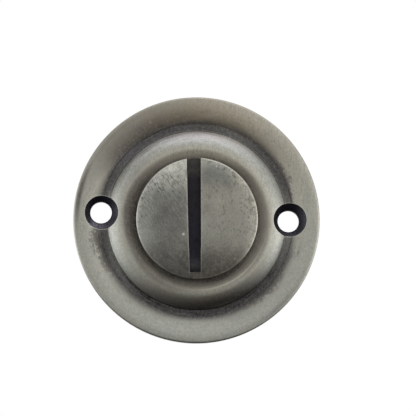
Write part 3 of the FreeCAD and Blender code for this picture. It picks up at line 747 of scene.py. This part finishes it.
def pewter(name, clean_tone, mottle, patina, lit_inside, dents=()):
    """Antique pewter: grey plated metal, brushed up and down, with dark patina where it wasn't rubbed.

    The clean tone is its brightness where it was rubbed, mottle is how strongly the cloudy spots
    show, patina is the two colours between which the dark film changes, and lit_inside is the colour
    of the painted light inside holes and slot. Dents are small bright ones: their place and size. The
    stored numbers say where: patina_shade_sheen for patina together with painted shade, and below 0
    for painted highlights, broken for how ragged it is, ringed and swept for marks round the axis and
    slanting ones, hue for its tint, worn_and_glint for rubbed edges and painted glints, pit for the
    near-black insides, which are patina and painted shade, raw for the cast back and hole_light for
    the painted reflections and light inside holes and slot."""
    material, shader, place = new_material(name)
    stored = ("patina_shade_sheen", "broken", "ringed", "swept", "hue", "worn_and_glint", "pit", "raw", "hole_light")
    patina_shade_sheen, broken, ringed, swept, hue, worn_and_glint, pit, raw, hole_light = (
        place.node("ShaderNodeAttribute", attribute_name=value, output=2) for value in stored
    )
    up = place.node("ShaderNodeSeparateXYZ", place, output=2)
    flat = place.vector("MULTIPLY", (1.0, 0.0, 1.0))
    radius = flat.vector("LENGTH", output=1)
    heading = flat.vector("NORMALIZE").vector("MULTIPLY", (4.0, 4.0, 4.0))
    ringwise = heading.vector("ADD", place.node("ShaderNodeCombineXYZ", 0.0, radius * 3.8, 0.0))
    leaning = place.node(
        "ShaderNodeVectorRotate", place, None, None, math.radians(38), rotation_type="Y_AXIS"
    )

    blotch = place.noise(0.35, 4.0, 0.6)
    cloud = place.noise(1.4, 5.0, 0.62)
    grain = place.noise(5.0, 3.0, 0.75)
    dapple = place.noise((2.6, 2.6, 2.0), 3.0, 0.65, 0.3)
    combing = place.noise((6.5, 6.5, 0.28), 3.0, 0.6, 0.15)
    scratch = place.noise((16.0, 16.0, 0.7), 2.0, 0.5)
    rub = leaning.noise((4.5, 4.5, 0.5), 3.0, 0.65)
    speck = place.noise(3.0, 2.0, 0.5)
    streak = ringwise.noise(1.0, 3.0, 0.6)

    ragged = patina_shade_sheen + (blotch - 0.5) * 0.6 + (cloud - 0.5) * 0.9
    ragged = ragged + (dapple - 0.5) * 0.9 + (grain - 0.5) * 0.9
    edge_zone = patina_shade_sheen.ramp(0.02, 0.2) * patina_shade_sheen.ramp(1.0, 0.8)
    cover = ragged.ramp(0.3, 0.75)
    smooth = patina_shade_sheen.most(0.0)
    dark = smooth + (cover - smooth) * (broken * 0.95)
    dark = dark + ((streak - 0.5) * 0.7 + (combing - 0.5) * 0.75) * edge_zone
    dark = dark.most(speck.ramp(0.64, 0.7) * grain.ramp(0.4, 0.6) * edge_zone * broken)
    dark = dark.most(0.0).least(1.0) * (1.0 - worn_and_glint * 0.8)

    warm = up.ramp(-14.0, 24.0)
    clean = warm.mix((0.467, 0.49, 0.447), (0.497, 0.49, 0.43))
    clean = (blotch.ramp(0.35, 0.65) * 0.6).mix(clean, (0.5, 0.5, 0.46))
    brushed = up.ramp(-16.0, 10.0) * 0.75 + 0.25
    tone = clean_tone + ((combing - 0.5) * 0.7 + (scratch - 0.5) * 0.5) * brushed
    patches = (grain - 0.5) * (0.5 + 0.7 * mottle) + (dapple - 0.5) * (0.2 + 1.6 * mottle)
    patches = patches + (cloud - 0.5) * (0.1 + 2.1 * mottle)
    even = 1.0 - patina_shade_sheen.ramp(0.75, 1.0) * 0.75
    tone = tone + patches * even + (blotch - 0.5) * (0.4 * mottle)
    # Below 0, the patina number brightens the tone: painted highlights.
    tone = tone - patina_shade_sheen.least(0.0) + (rub - 0.5) * swept * 2.2 + (streak - 0.5) * ringed * 1.4
    clean = clean.vector("MULTIPLY", place.node("ShaderNodeCombineXYZ", tone, tone, tone))
    film = cloud.ramp(0.3, 0.7).mix(*patina)
    uneven = 1.0 + (grain - 0.5) * (2.8 - 2.6 * mottle) + (dapple - 0.5) * (2.0 - 1.6 * mottle)
    uneven = uneven + (cloud - 0.5) * even * (1.3 * mottle) + (streak - 0.5) * (2.6 - 2.0 * mottle)
    uneven = uneven + (combing - 0.5) * 1.2
    depth = uneven.most(0.25) * (2.05 - patina_shade_sheen * 1.3)
    film = film.vector("MULTIPLY", place.node("ShaderNodeCombineXYZ", depth, depth, depth))
    colour = dark.mix(clean, film)
    for x, h, z, size in dents:
        away = place.vector("DISTANCE", (x, -h, z), output=1)
        worn_and_glint = worn_and_glint.most(away.ramp(size, size * 0.4) * 2.5)
    colour = (worn_and_glint * (0.3 + grain.ramp(0.35, 0.65) * 0.6)).mix(colour, (0.66, 0.65, 0.6))
    cast = cloud.ramp(0.3, 0.75).mix((0.2, 0.195, 0.185), (0.34, 0.335, 0.32))
    colour = raw.mix(colour, cast)
    # The insides of holes and slot are near black: patina and painted shade.
    inside = combing.ramp(0.3, 0.7).mix((0.036, 0.036, 0.046), (0.052, 0.051, 0.062))
    inside = (hole_light * dapple.ramp(0.25, 0.55)).mix(inside, lit_inside)
    colour = pit.mix(colour, inside)
    red = 1.0 + hue.most(0.0) * 0.09 + (-0.6 - hue).most(0.0) * 0.12
    tint = place.node("ShaderNodeCombineXYZ", red, 1.0, 1.0 - hue * 0.12)
    colour = colour.vector("MULTIPLY", tint)

    rough = 0.27 + dark * 0.2 + raw * 0.15 + pit * 0.2
    rough = rough + (grain - 0.5) * 0.12 + (combing - 0.5) * 0.08
    relief = combing * 0.35 + scratch * 0.25 + grain * (0.35 + dark * 0.5 + raw * 3.0)
    finish_metal(shader, colour, rough, relief - dark * 0.5, 0.5, 0.000012)
    return material


ROSE_PATINA = ((0.099, 0.094, 0.091), (0.152, 0.145, 0.141))
# The last colour is that of the painted reflection in the screw sinks.
rose_metal = pewter("antique_pewter_rose", 1.05, 0.15, ROSE_PATINA, (0.42, 0.4, 0.44))
rose.data.materials.append(rose_metal)


# Release: one turned piece in the same finish. The head sits in the recess and has a coin slot, open
# at the top, narrower at the bottom and with a floor that runs out there. Behind it are the shank
# with its circlip groove and the square socket for the spindle.

HEAD_R = 12.3
FACE_H = 8.179
SEAT_H = 5.329
HEAD_ROUND = 0.3
SLOT_ROUND = 0.06
SLOT_X = -0.52
SLOT_HALF = 1.16
SLOT_TAPER = 0.01
SLOT_END = -10.8
SLOT_FLOOR = 5.979
RUNOUT = 3.2
RUNOUT_R = 3.427
NICK_AT = -5.9
NICK = 0.05
REST_TURN = math.radians(3.35)
EDGE_STEPS = 100
END_STEPS = 10
SHANK_R = 6.0
SHANK_LOW = 0.249
GROOVE_R = 5.75
GROOVE_LOW = 0.949
GROOVE_HIGH = 2.049
FILLET = 0.05
SOCKET_HALF = 2.55
SOCKET_TOP = 4.749


def slot_half(z):
    """Half of the slot's width: a straight taper, and a small step where the cutter was set again."""
    step = NICK * (1 / (1 + np.exp(-(z - NICK_AT) / 0.06)) - 0.5)
    return SLOT_HALF + SLOT_TAPER * (z - SLOT_END) + step


def slot_floor(z):
    """Height of the slot's floor: level, and at its closed end an arc that rises to the face."""
    into = np.clip(SLOT_END + RUNOUT - z, 0, RUNOUT)
    height = SLOT_FLOOR + RUNOUT_R - np.sqrt(RUNOUT_R**2 - into**2)
    return np.minimum(height, FACE_H - SLOT_ROUND)


def mouth_corner(side):
    """Where one edge of the slot leaves the round head. Side is -1 on the left and 1 on the right."""
    z = HEAD_R
    for _ in range(20):
        x = SLOT_X + side * slot_half(z)
        z = math.sqrt(HEAD_R**2 - x**2)
    return float(x), z


left_x, left_z = mouth_corner(-1)
right_x, right_z = mouth_corner(1)
left_down = np.linspace(left_z, SLOT_END, EDGE_STEPS + 1)
right_down = np.linspace(right_z, SLOT_END, EDGE_STEPS + 1)
left_edge = np.stack((SLOT_X - slot_half(left_down), left_down), axis=1)
right_edge = np.stack((SLOT_X + slot_half(right_down), right_down), axis=1)
end_share = np.linspace(0, 1, END_STEPS + 1)[:, None]
slot_end = left_edge[-1] * (1 - end_share) + right_edge[-1] * end_share
slot_line = np.concatenate((left_edge, slot_end[1:-1], right_edge[::-1]))
turn_left = math.atan2(left_z, left_x)
turn_right = math.atan2(right_z, right_x) + 2 * math.pi
turn_end = np.arctan2(slot_end[:, 1], slot_end[:, 0]) + 2 * math.pi
head_turn = np.concatenate(
    (
        np.linspace(turn_left, turn_end[0], EDGE_STEPS + 1),
        turn_end[1:-1],
        np.linspace(turn_end[-1], turn_right, EDGE_STEPS + 1),
    )
)
head_line = HEAD_R * np.stack((np.cos(head_turn), np.sin(head_turn)), axis=1)


def inward(line, closed_left, closed_right):
    """Unit directions that point from a boundary line into the face on its left, mitred at corners."""
    padded = np.concatenate(([closed_left], line, [closed_right]))
    before = np.diff(padded[:-1], axis=0)
    after = np.diff(padded[1:], axis=0)
    before /= np.linalg.norm(before, axis=1)[:, None]
    after /= np.linalg.norm(after, axis=1)[:, None]
    normal = np.stack((-(before + after)[:, 1], (before + after)[:, 0]), axis=1)
    normal /= np.linalg.norm(normal, axis=1)[:, None]
    square = before[:, 0] * normal[:, 1] - before[:, 1] * normal[:, 0]
    return normal / square[:, None]


head_in = inward(head_line, slot_line[1], slot_line[-2])
slot_in = inward(slot_line[::-1], head_line[-2], head_line[1])[::-1]
from_mouth = HEAD_R * np.minimum(head_turn - turn_left, turn_right - head_turn)
head_round = SLOT_ROUND + (HEAD_ROUND - SLOT_ROUND) * np.clip(from_mouth / 1.3, 0, 1) ** 0.7

def at_height(plan, height):
    """Plan points with a height, which is one number or one for each point."""
    return np.stack((plan[:, 0], np.broadcast_to(height, len(plan)), plan[:, 1]), axis=1)


def rounded_edge(line, direction, radius):
    """Rows from the top of a wall over its rounded edge onto the face, as a quarter of a circle."""
    return [
        at_height(
            line + direction * (radius * (1 - math.cos(angle)))[:, None],
            FACE_H - radius * (1 - math.sin(angle)),
        )
        for angle in ROUND_ANGLES
    ]


head_rows = rounded_edge(head_line, head_in, head_round)
slot_rows = rounded_edge(slot_line, slot_in, np.full(len(slot_line), SLOT_ROUND))
across = np.linspace(0, 1, 33)[:, None, None]
sheets = [head_rows, slot_rows, head_rows[-1] * (1 - across) + slot_rows[-1] * across]

down = np.linspace(0, 1, 7)[:, None]
for line, round_top, foot in (
    (head_line, head_round, np.full(len(head_line), SLOT_FLOOR)),
    (slot_line, SLOT_ROUND, slot_floor(slot_line[:, 1])),
):
    heights = (FACE_H - round_top) * (1 - down) + foot * down
    sheets.append([at_height(line, height) for height in heights])

# The slot's floor goes straight from edge to edge, and at the open end its rows follow the head.
floor_rows = []
for i in range(EDGE_STEPS + 1):
    row = left_edge[i] * (1 - end_share) + right_edge[i] * end_share
    bulge = np.sqrt(HEAD_R**2 - row[:, 0] ** 2) - row[:, 1]
    bulge -= bulge[0] * (1 - end_share[:, 0]) + bulge[-1] * end_share[:, 0]
    row[:, 1] += bulge * max(0, 1 - i / 4)
    floor_rows.append(at_height(row, slot_floor(row[:, 1])))
sheets.append(floor_rows)

# The back as rings of radius and height, down the shank, in and out of the groove and round to its
# end, and then as squares from the mouth of the socket up to its roof.
mouth_turn = np.arctan2(floor_rows[0][::-1, 2], floor_rows[0][::-1, 0]) + 2 * math.pi
full_turn = np.concatenate((head_turn, mouth_turn[1:]))
low_section = np.concatenate(
    (
        rings_of([HEAD_R] * 3, np.linspace(SLOT_FLOOR, SEAT_H + 0.1, 3)),
        arc(HEAD_R - 0.1, SEAT_H + 0.1, 0.1, 0, -90, 4)[1:],
        rings_of(np.linspace(11.5, SHANK_R + 0.3, 7), SEAT_H),
        arc(SHANK_R + 0.1, SEAT_H - 0.1, 0.1, 90, 180, 3),
        rings_of([SHANK_R] * 5, np.linspace(5.1, 2.1, 5)),
        arc(SHANK_R - FILLET, GROOVE_HIGH + FILLET, FILLET, 0, -90, 3),
        arc(GROOVE_R + FILLET, GROOVE_HIGH - FILLET, FILLET, 90, 180, 3),
        rings_of([GROOVE_R] * 3, (1.8, 1.45, 1.1)),
        arc(GROOVE_R + FILLET, GROOVE_LOW + FILLET, FILLET, 180, 270, 3),
        arc(SHANK_R - FILLET, GROOVE_LOW - FILLET, FILLET, 90, 0, 3),
        rings_of([SHANK_R] * 2, (0.7, 0.57)),
        rings_of(SHANK_R - np.array((0.02, 0.28, 0.32)), SHANK_LOW + np.array((0.28, 0.02, 0.0))),
        rings_of((5.2, 4.6), SHANK_LOW),
    )
)
ring_line = np.stack((np.cos(full_turn), np.sin(full_turn)), axis=1)
lower = [at_height(ring_line * r, h) for r, h in low_section]
corner_turn = np.round((full_turn - math.pi / 4) / (math.pi / 2)) * (math.pi / 2) + math.pi / 4
near = np.abs(full_turn - corner_turn)
square_turn = np.where(near < 0.015, corner_turn, full_turn)
square_line = np.stack((np.cos(square_turn), np.sin(square_turn)), axis=1)
square_line /= np.abs(square_line).max(axis=1)[:, None]
for half, height in (
    (SOCKET_HALF + 0.32, SHANK_LOW),
    (SOCKET_HALF + 0.3, SHANK_LOW + 0.01),
    (SOCKET_HALF + 0.02, SHANK_LOW + 0.28),
    (SOCKET_HALF, SHANK_LOW + 0.31),
    (SOCKET_HALF, 2.0),
    (SOCKET_HALF, 3.4),
    (SOCKET_HALF, SOCKET_TOP - 0.05),
    (SOCKET_HALF - 0.05, SOCKET_TOP),
    (1.6, SOCKET_TOP),
    (0.8, SOCKET_TOP),
    (0.0, SOCKET_TOP),
):
    lower.append(at_height(square_line * half, height))
sheets.append(lower)

release_points, release_faces, _ = join_sheets(sheets)
head_x, head_h, head_z = release_points.T
head_r = np.hypot(head_x, head_z)
beside_slot = np.abs(head_x - SLOT_X) - slot_half(head_z)
in_slot = (beside_slot < 0.001) & (head_z > SLOT_END - 0.001) & (head_h < FACE_H - 0.02)
in_slot &= head_h > slot_floor(head_z) - 0.001
side_wall = (head_r > HEAD_R - 0.02) & (head_h > SEAT_H - 0.01) & (head_h < FACE_H - HEAD_ROUND)
on_face = head_h > FACE_H - 0.3
on_left = on_face & (head_x < SLOT_X)
rim_glint = bump_at(head_r, HEAD_R - 0.16, 0.15) * (head_h > FACE_H - 0.28)
along_slot = (np.abs(beside_slot - 0.04) < 0.05) & (head_z > SLOT_END - 0.1)
along_slot &= head_h > FACE_H - 0.05


def blot(x, z, at_x, at_z, wide, tall):
    """1 at a place and less around it: e to the minus sum of the squares of both distances, each
    over its width."""
    return np.exp(-(((x - at_x) / wide) ** 2 + ((z - at_z) / tall) ** 2))


def face_patina_shade_sheen(x, z):
    """Patina on the slotted face, 0 to 1, with painted shade and highlights: clouds of patina on the
    middle of the left half and on the upper right, painted shade towards the bottom, a painted
    highlight near the rim except at the bottom, and lighter at the upper left."""
    left = fall(x, SLOT_X, 0.4)
    cloud = 0.05 * blot(x, z, -5.5, -6.0, 5.0, 4.0) + 0.22 * blot(x, z, -5.5, 1.5, 5.5, 6.0)
    # Darker towards the bottom of the face: painted shade.
    amount = 0.42 + 0.62 * fall(z, -7.7, 1.9)
    amount += left * (cloud - 1.15 * blot(x, z, -5.5, 12.2, 6.0, 3.9))
    amount += 0.22 * (1 - left) * blot(x, z, 4.6, 9.2, 4.2, 3.0)
    # Brighter near the rim, more on the right and not at the bottom: painted highlight.
    rim_light_reach = np.exp((np.hypot(x, z) - HEAD_R) / 1.2) * (1 + 0.4 * np.tanh(x / 5))
    amount -= 0.4 * rim_light_reach * (1 - fall(z, -7, 1.5))
    return np.clip(amount, -0.6, 1)


# Thin bright edge of the head, strongest at the top and faint at the bottom: painted highlight. The
# slot's edges and a patch at the upper left are lighter too.
rim_shine = 0.15 + 0.85 * np.clip(head_z / 6 + 1.0, 0, 1)
rubbed = blot(head_x, head_z, -3.2, 11.2, 2.2, 2.4) * on_left
glints_and_rubbing = np.max([1.2 * rim_glint * rim_shine, 0.3 * along_slot, 0.8 * rubbed], axis=0)
# The slot's floor is lighter near its open top and at its closed end: painted light.
slot_end_light = 0.9 * np.clip((head_z - 8.2) / 1.4, 0, 1) + 0.7 * np.clip((-7.0 - head_z) / 3.0, 0, 1)
face_hue = 0.5 - 0.42 * fall(head_x, 0.0, 1.5) + 0.25 * fall(head_z, -7, 1.5)
face_hue -= 0.55 * blot(head_x, head_z, 4.2, 9.4, 3.6, 2.6)
release_values = {
    # The head's side wall is fully dark: painted shade round and under the head.
    "patina_shade_sheen": np.where(side_wall, 1.0, np.where(on_face, face_patina_shade_sheen(head_x, head_z), 0.4)),
    "worn_and_glint": glints_and_rubbing * ~in_slot,
    "pit": in_slot,
    "hole_light": in_slot * slot_end_light,
    "broken": np.full(len(head_r), 0.8),
    "ringed": 0.1 + 0.5 * on_face * np.clip(head_x / 6, 0, 1) * bump_at(head_r, 10.6, 1.6),
    "swept": np.where(on_left, 1 - 0.75 * fall(head_z, 1.5, 1.8), 0.15),
    "hue": np.where(in_slot, np.where(head_z > 0, 0.8, -0.2), face_hue),
    "raw": np.where(head_h < SEAT_H - 0.05, 0.2, 0.0),
}
turned_x = head_x * math.cos(REST_TURN) - head_z * math.sin(REST_TURN)
turned_z = head_x * math.sin(REST_TURN) + head_z * math.cos(REST_TURN)
release_points = np.stack((turned_x, head_h, turned_z), axis=1)
release = add_mesh("release_turned", release_points, release_faces, release_values)
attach(release, "release")
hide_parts("release_turn")
RELEASE_PATINA = ((0.097, 0.095, 0.087), (0.149, 0.146, 0.134))
DENTS = ((-2.62, FACE_H, -3.28, 0.34), (3.5, FACE_H, 10.77, 0.22))
# The last colour is that of the painted light on the slot's floor.
release_metal = pewter(
    "antique_pewter_release", 1.0, 0.85, RELEASE_PATINA, (0.1, 0.1, 0.1), DENTS
)
release.data.materials.append(release_metal)


# Wave washer: spring steel strip pressed into three waves. It lies between the rose's hub and the
# thrust washer and keeps the release from rattling.


def washer(name, inner, outer, middle, thick, edge, swing=0.0):
    """A stamped ring whose section is a rectangle with rounded corners. Its height swings by a
    cosine three times round the axis, by the given amount."""
    half = thick / 2
    rows = []
    for radius, side, start in ((outer, -1, -90), (outer, 1, 0), (inner, 1, 90), (inner, -1, 180)):
        centre_r = radius - edge if radius == outer else radius + edge
        rows.append(arc(centre_r, side * (half - edge), edge, start, start + 90, 4))
    flats = np.linspace(inner + edge, outer - edge, 7)[1:-1]
    rows.insert(2, rings_of(flats[::-1], half))
    rows.append(rings_of(flats, -half))
    outline = np.concatenate(rows)
    angle = np.linspace(0, 2 * math.pi, 192, endpoint=False)
    r = outline[:, 0][:, None]
    h = middle + outline[:, 1][:, None] + swing * np.cos(3 * angle)
    grid = np.stack((r * np.cos(angle), h, r * np.sin(angle)), axis=2)
    numbers = np.arange(grid.size // 3).reshape(grid.shape[:2])
    beside = np.roll(numbers, -1, axis=1)
    onward = np.roll(numbers, -1, axis=0)
    faces = np.stack((numbers, onward, np.roll(beside, -1, axis=0), beside), axis=2)
    return add_mesh(name, grid.reshape(-1, 3), faces.reshape(-1, 4))


def spring_steel():
    """Blue-grey rolled strip: fine lines along the rolling direction, straw and blue stains left by
    tempering, and the brighter worn tops of the waves."""
    material, shader, place = new_material("tempered_strip")
    lines = place.noise((0.5, 9.0, 9.0), 3.0, 0.6)
    stain = place.noise(0.45, 3.0, 0.55, 0.6)
    grain = place.noise(8.0, 2.0, 0.6)
    height = place.node("ShaderNodeSeparateXYZ", place, output=1)
    colour = stain.ramp(0.42, 0.62).mix((0.3, 0.31, 0.34), (0.36, 0.31, 0.24))
    colour = stain.ramp(0.6, 0.72).mix(colour, (0.17, 0.2, 0.3))
    rubbed = height.ramp(-3.2, -3.29).most(height.ramp(-2.7, -2.61)) * grain.ramp(0.3, 0.6)
    colour = (rubbed * 0.7).mix(colour, (0.55, 0.55, 0.54))
    rough = 0.34 + (lines - 0.5) * 0.3 + (grain - 0.5) * 0.15 - rubbed * 0.08
    finish_metal(shader, colour, rough, lines + grain * 0.4, 0.4, 0.000006)
    return material


wave = washer("wave_spring", inner=6.15, outer=8.45, middle=2.949, thick=0.3, edge=0.05, swing=0.23)
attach(wave, "release")
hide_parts("wave_washer")
wave.data.materials.append(spring_steel())


# Thrust washer: plain brass washer in front of the circlip, blanked from sheet. The circlip holds it
# on the shank, and it turns with the release.


def washer_brass():
    """Brass sheet gone dull: brown tarnish in clouds, rolling lines, and a bright ring that the
    circlip and the spring have rubbed."""
    material, shader, place = new_material("dull_brass")
    cloud = place.noise(0.8, 4.0, 0.6)
    grain = place.noise(7.0, 3.0, 0.65)
    lines = place.noise((0.4, 7.0, 7.0), 3.0, 0.6)
    radius = place.vector("MULTIPLY", (1.0, 0.0, 1.0)).vector("LENGTH", output=1)
    rubbed = radius.ramp(8.0, 7.5) * radius.ramp(6.2, 6.5) * grain.ramp(0.25, 0.55)
    colour = cloud.ramp(0.35, 0.65).mix((0.62, 0.44, 0.18), (0.46, 0.3, 0.13))
    colour = (grain.ramp(0.58, 0.72) * 0.6).mix(colour, (0.22, 0.13, 0.07))
    colour = (rubbed * 0.8).mix(colour, (0.78, 0.6, 0.29))
    rough = 0.36 + (lines - 0.5) * 0.25 + (cloud - 0.5) * 0.2 - rubbed * 0.12
    finish_metal(shader, colour, rough, lines + grain * 0.6, 0.4, 0.000008)
    return material


thrust = washer("thrust_ring", inner=6.15, outer=9.45, middle=2.299, thick=0.5, edge=0.08)
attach(thrust, "release")
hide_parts("thrust_washer")
thrust.data.materials.append(washer_brass())


# Circlip: external ring of black spring steel in the groove of the shank, open at the bottom, with
# an eye for the pliers in each lug. Its section gets thinner towards the gap.

CLIP_R = 5.77
CLIP_OUT_R = 7.22
CLIP_OFF = 0.35
CLIP_GAP = 1.7
LUG_R = 1.45
LUG_X = 3.15
LUG_Z = -math.sqrt((CLIP_R + LUG_R) ** 2 - LUG_X**2)
EYE_R = 0.75
CLIP_LOW = 0.999
CLIP_HIGH = 1.999
CLIP_EDGE = 0.07


def circle_line(x, z, radius, start, end, steps):
    """Plan points on an arc. Angles are in degrees."""
    angle = np.radians(np.linspace(start, end, steps))
    return np.stack((x + radius * np.cos(angle), z + radius * np.sin(angle)), axis=1)


lug_arc = circle_line(LUG_X, LUG_Z, LUG_R, 180, 420, 241)
outside = np.hypot(lug_arc[:, 0], lug_arc[:, 1] - CLIP_OFF) > CLIP_OUT_R
outside[:60] = True
lug_arc = lug_arc[: np.argmin(outside)]
leave = math.degrees(math.atan2(lug_arc[-1, 1] - CLIP_OFF, lug_arc[-1, 0]))
gap_turn = math.degrees(math.atan2(-math.sqrt(CLIP_R**2 - CLIP_GAP**2), CLIP_GAP))
clip_line = np.concatenate(
    (
        lug_arc,
        circle_line(0, CLIP_OFF, CLIP_OUT_R, leave, 180 - leave, 400),
        lug_arc[::-1] * (-1, 1),
        circle_line(0, 0, CLIP_R, -180 - gap_turn, -360 + gap_turn, 400),
    )
)


def soften(line, step, spread):
    """The closed line at even steps, with corners rounded by a Gaussian mean along it."""
    closed = np.concatenate((line, line[:1]))
    length = np.concatenate(([0], np.cumsum(np.linalg.norm(np.diff(closed, axis=0), axis=1))))
    count = round(length[-1] / step)
    at = np.arange(count) * length[-1] / count
    even = np.stack([np.interp(at, length, closed[:, i]) for i in (0, 1)], axis=1)
    reach = int(4 * spread / step)
    weight = np.exp(-0.5 * (np.arange(-reach, reach + 1) * step / spread) ** 2)
    weight /= weight.sum()
    return sum(w * np.roll(even, i - reach, axis=0) for i, w in enumerate(weight))


clip_lines = [
    soften(clip_line, 0.1, 0.12),
    circle_line(LUG_X, LUG_Z, EYE_R, 0, -360, 49)[:-1],
    circle_line(-LUG_X, LUG_Z, EYE_R, 0, -360, 49)[:-1],
]
sheets = []
for line in clip_lines:
    direction = inward(line, line[-1], line[0])
    rows = []
    for side, height in ((-1, CLIP_LOW), (1, CLIP_HIGH)):
        for angle in np.radians((90, 60, 30, 0)[::-side]):
            inset = CLIP_EDGE * (1 - math.cos(angle))
            drop = side * CLIP_EDGE * (1 - math.sin(angle))
            row = at_height(line + direction * inset, height - drop)
            rows.append(np.append(row, row[:1], axis=0))
    sheets.append(rows)
clip_points, clip_faces, grids = join_sheets(sheets)

# Both flat faces are triangles between the outline and the eyes. A triangle stays where a line from
# its middle to the right crosses the outlines an odd number of times.
rims = [(grid[0, :-1], grid[-1, :-1]) for grid in grids]
flat = np.concatenate([clip_points[low][:, (0, 2)] for low, _ in rims])
edges = []
for low, _ in rims:
    start = len(edges)
    edges += [(start + i, start + (i + 1) % len(low)) for i in range(len(low))]
triangles = delaunay_2d_cdt([Vector(point) for point in flat], edges, [], 0, 1e-6)[2]
triangles = np.array(triangles)
middle = flat[triangles].mean(axis=1)
ends = flat[np.array(edges)]
(x0, z0), (x1, z1) = ends[:, 0].T, ends[:, 1].T
spans = (z0 <= middle[:, 1:]) != (z1 <= middle[:, 1:])
with np.errstate(divide="ignore", invalid="ignore"):
    meets = x0 + (middle[:, 1:] - z0) * (x1 - x0) / (z1 - z0)
crossings = (spans & (meets > middle[:, :1])).sum(axis=1)
triangles = triangles[crossings % 2 == 1]
caps = [np.concatenate(numbers)[triangles][:, (0, 1, 2, 2)] for numbers in zip(*rims)]


def black_phosphate():
    """Phosphated and oiled steel: nearly black, matt, with a fine crystalline grain, a few lighter
    scuffs and a thin film of oil."""
    material, shader, place = new_material("phosphate_black")
    crystal = place.noise(9.0, 3.0, 0.7)
    cloud = place.noise(0.9, 4.0, 0.6)
    scuff = place.noise((0.7, 6.0, 0.7), 3.0, 0.6, 0.4)
    colour = cloud.ramp(0.35, 0.65).mix((0.035, 0.035, 0.038), (0.06, 0.058, 0.055))
    marks = scuff.ramp(0.64, 0.72) * crystal.ramp(0.35, 0.6)
    colour = (marks * 0.7).mix(colour, (0.2, 0.2, 0.2))
    rough = 0.48 + (crystal - 0.5) * 0.4 - marks * 0.15
    finish_metal(shader, colour, rough, crystal, 0.5, 0.00001)
    (marks * 0.9 + 0.1).feed(shader, "Metallic")
    (cloud.ramp(0.4, 0.7) * 0.35).feed(shader, "Coat Weight")
    shader.inputs["Coat Roughness"].default_value = 0.25
    return material


circlip = add_mesh("circlip_ring", clip_points, np.concatenate([clip_faces, *caps]))
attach(circlip, "release")
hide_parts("circlip")
circlip.data.materials.append(black_phosphate())
